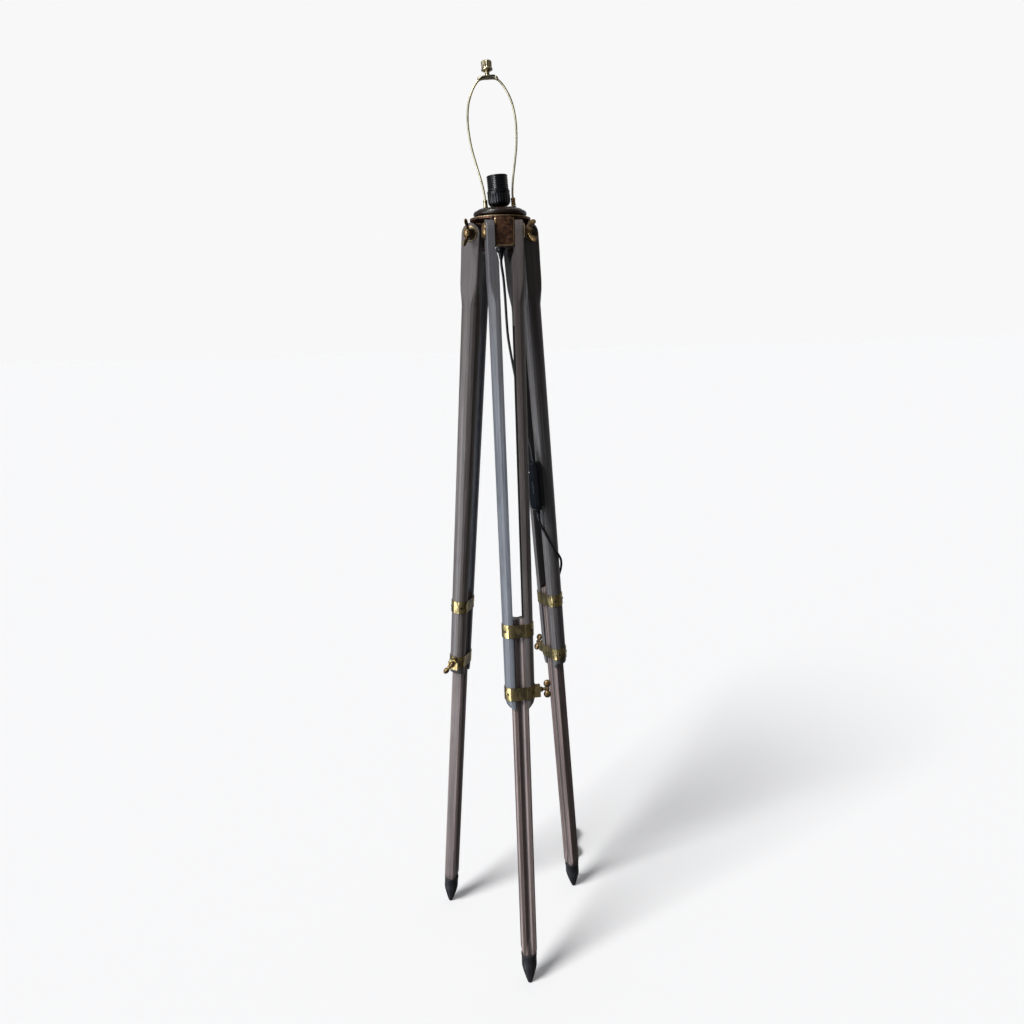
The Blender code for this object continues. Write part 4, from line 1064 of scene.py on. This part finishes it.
def build_tie():
    """The strap round the hank's waist."""
    low, high, half, thick = 0.0004, 0.0221, 0.0068, 0.0011

    def ring(x, inset):
        points = []
        for corner_y, corner_z, start in ((1, 1, 0), (-1, 1, 90), (-1, -1, 180), (1, -1, 270)):
            r = 0.0035 - inset * 0.5
            cy = corner_y * (half - inset - r)
            cz = (low + inset + r) if corner_z < 0 else (high - inset - r)
            for y, z in arc((cy, cz), r, start, start + 90, 6):
                points.append((x, y, z))
        return points

    rings = [ring(-0.0044, 0.0002), ring(-0.0046, 0.0005), ring(-0.0046, thick)]
    rings += [ring(0.0046, thick), ring(0.0046, 0.0005), ring(0.0044, 0.0002)]
    tie = put("hank_strap", skin("hank_strap", rings, looped=True, sharp=60), CORD_RUBBER, HANK)
    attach(tie, "right_lower_leg")
    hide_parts("hank_tie")
    return tie


def build_details():
    for leg in LEGS:
        build_nails(leg)
        build_wing_nut(leg)
        build_thumb(leg)
        build_bolt_head(leg)
        build_shoe(leg)
    build_disc()
    build_socket()
    build_harp()


build_details()
gland = build_gland()
lead, lead_line, tail, tail_line = build_cords(CORD_RUBBER)
tie = build_tie()
top_boot = boot("switch_top_boot", lead_line[::-1], "right_leg")
low_boot = boot("switch_low_boot", tail_line, "right_leg")


# ---- floor and light --------------------------------------------------------------------
BACKDROP = (0.939, 0.939, 0.939)
ROOM = (  # a direction, the cosines between which its light comes in, and the light
    ((0.55, 0.83, 0.10), 0.20, 0.95, (0.42, 0.42, 0.43)),  # the wall behind
    ((0, 0, 1), 0.25, 0.95, (0.26, 0.265, 0.28)),  # the ceiling
    ((-0.87, -0.43, -0.20), 0.85, 0.97, (4.0, 4.2, 4.6)),  # a bright low window, left front
)


def build_floor():
    """Pale and matt. It glows a little, which lifts the shadow, and lights nothing else."""
    bpy.ops.mesh.primitive_plane_add(size=80, location=(0, 0, 0))
    floor = bpy.context.object
    floor.name = "floor"
    g = Graph("pale_floor")
    floor.data.materials.append(
        g.done(Base_Color=(0.80, 0.80, 0.80), Roughness=0.95, Specular_IOR_Level=0.0,
               Emission_Color=(1.0, 0.96, 0.88), Emission_Strength=0.048)
    )
    floor.visible_diffuse = False
    floor.visible_glossy = False


def build_sun():
    data = bpy.data.lights.new("window", "SUN")
    data.energy = 3.6
    data.angle = math.radians(21)
    sun = bpy.data.objects.new("window", data)
    heading, drop = math.radians(33), math.radians(47.5)
    ray = Vector((math.cos(heading), math.sin(heading), -math.tan(drop))).normalized()
    sun.rotation_euler = ray.to_track_quat("-Z", "Y").to_euler()
    bpy.context.scene.collection.objects.link(sun)


def build_sky():
    """The camera sees a plain pale backdrop. The object is lit by a room that is cooler and
    paler on its left, with a wall behind, a ceiling and a bright window."""
    world = bpy.data.worlds.new("room")
    bpy.context.scene.world = world
    world.use_nodes = True
    tree = world.node_tree
    tree.nodes.clear()

    def add(kind, **settings):
        made = tree.nodes.new(kind)
        for key, value in settings.items():
            setattr(made, key, value)
        return made

    def step(value, low, high):
        made = add("ShaderNodeMapRange", interpolation_type="SMOOTHSTEP")
        tree.links.new(value, made.inputs["Value"])
        made.inputs["From Min"].default_value = low
        made.inputs["From Max"].default_value = high
        return made.outputs[0]

    def towards(direction):
        made = add("ShaderNodeVectorMath", operation="DOT_PRODUCT")
        tree.links.new(place, made.inputs[0])
        made.inputs[1].default_value = Vector(direction).normalized()
        return made.outputs["Value"]

    def mix(share, a, b):
        made = add("ShaderNodeMix", data_type="RGBA")
        tree.links.new(share, made.inputs[0])
        for socket, value in ((made.inputs[6], a), (made.inputs[7], b)):
            if isinstance(value, bpy.types.NodeSocket):
                tree.links.new(value, socket)
            else:
                socket.default_value = (*value, 1)
        return made.outputs[2]

    place = add("ShaderNodeTexCoord").outputs["Generated"]
    side = step(towards((-0.95, -0.30, 0)), -0.30, 0.90)
    tone = mix(side, (0.070, 0.062, 0.058), (0.30, 0.32, 0.36))
    for direction, start, full, light in ROOM:
        tone = mix(step(towards(direction), start, full), tone, light)
    seen = mix(add("ShaderNodeLightPath").outputs["Is Camera Ray"], tone, BACKDROP)
    shade = add("ShaderNodeBackground")
    tree.links.new(seen, shade.inputs["Color"])
    out = add("ShaderNodeOutputWorld")
    tree.links.new(shade.outputs[0], out.inputs["Surface"])


build_floor()
build_sun()
build_sky()
bpy.context.scene.view_settings.view_transform = "Standard"
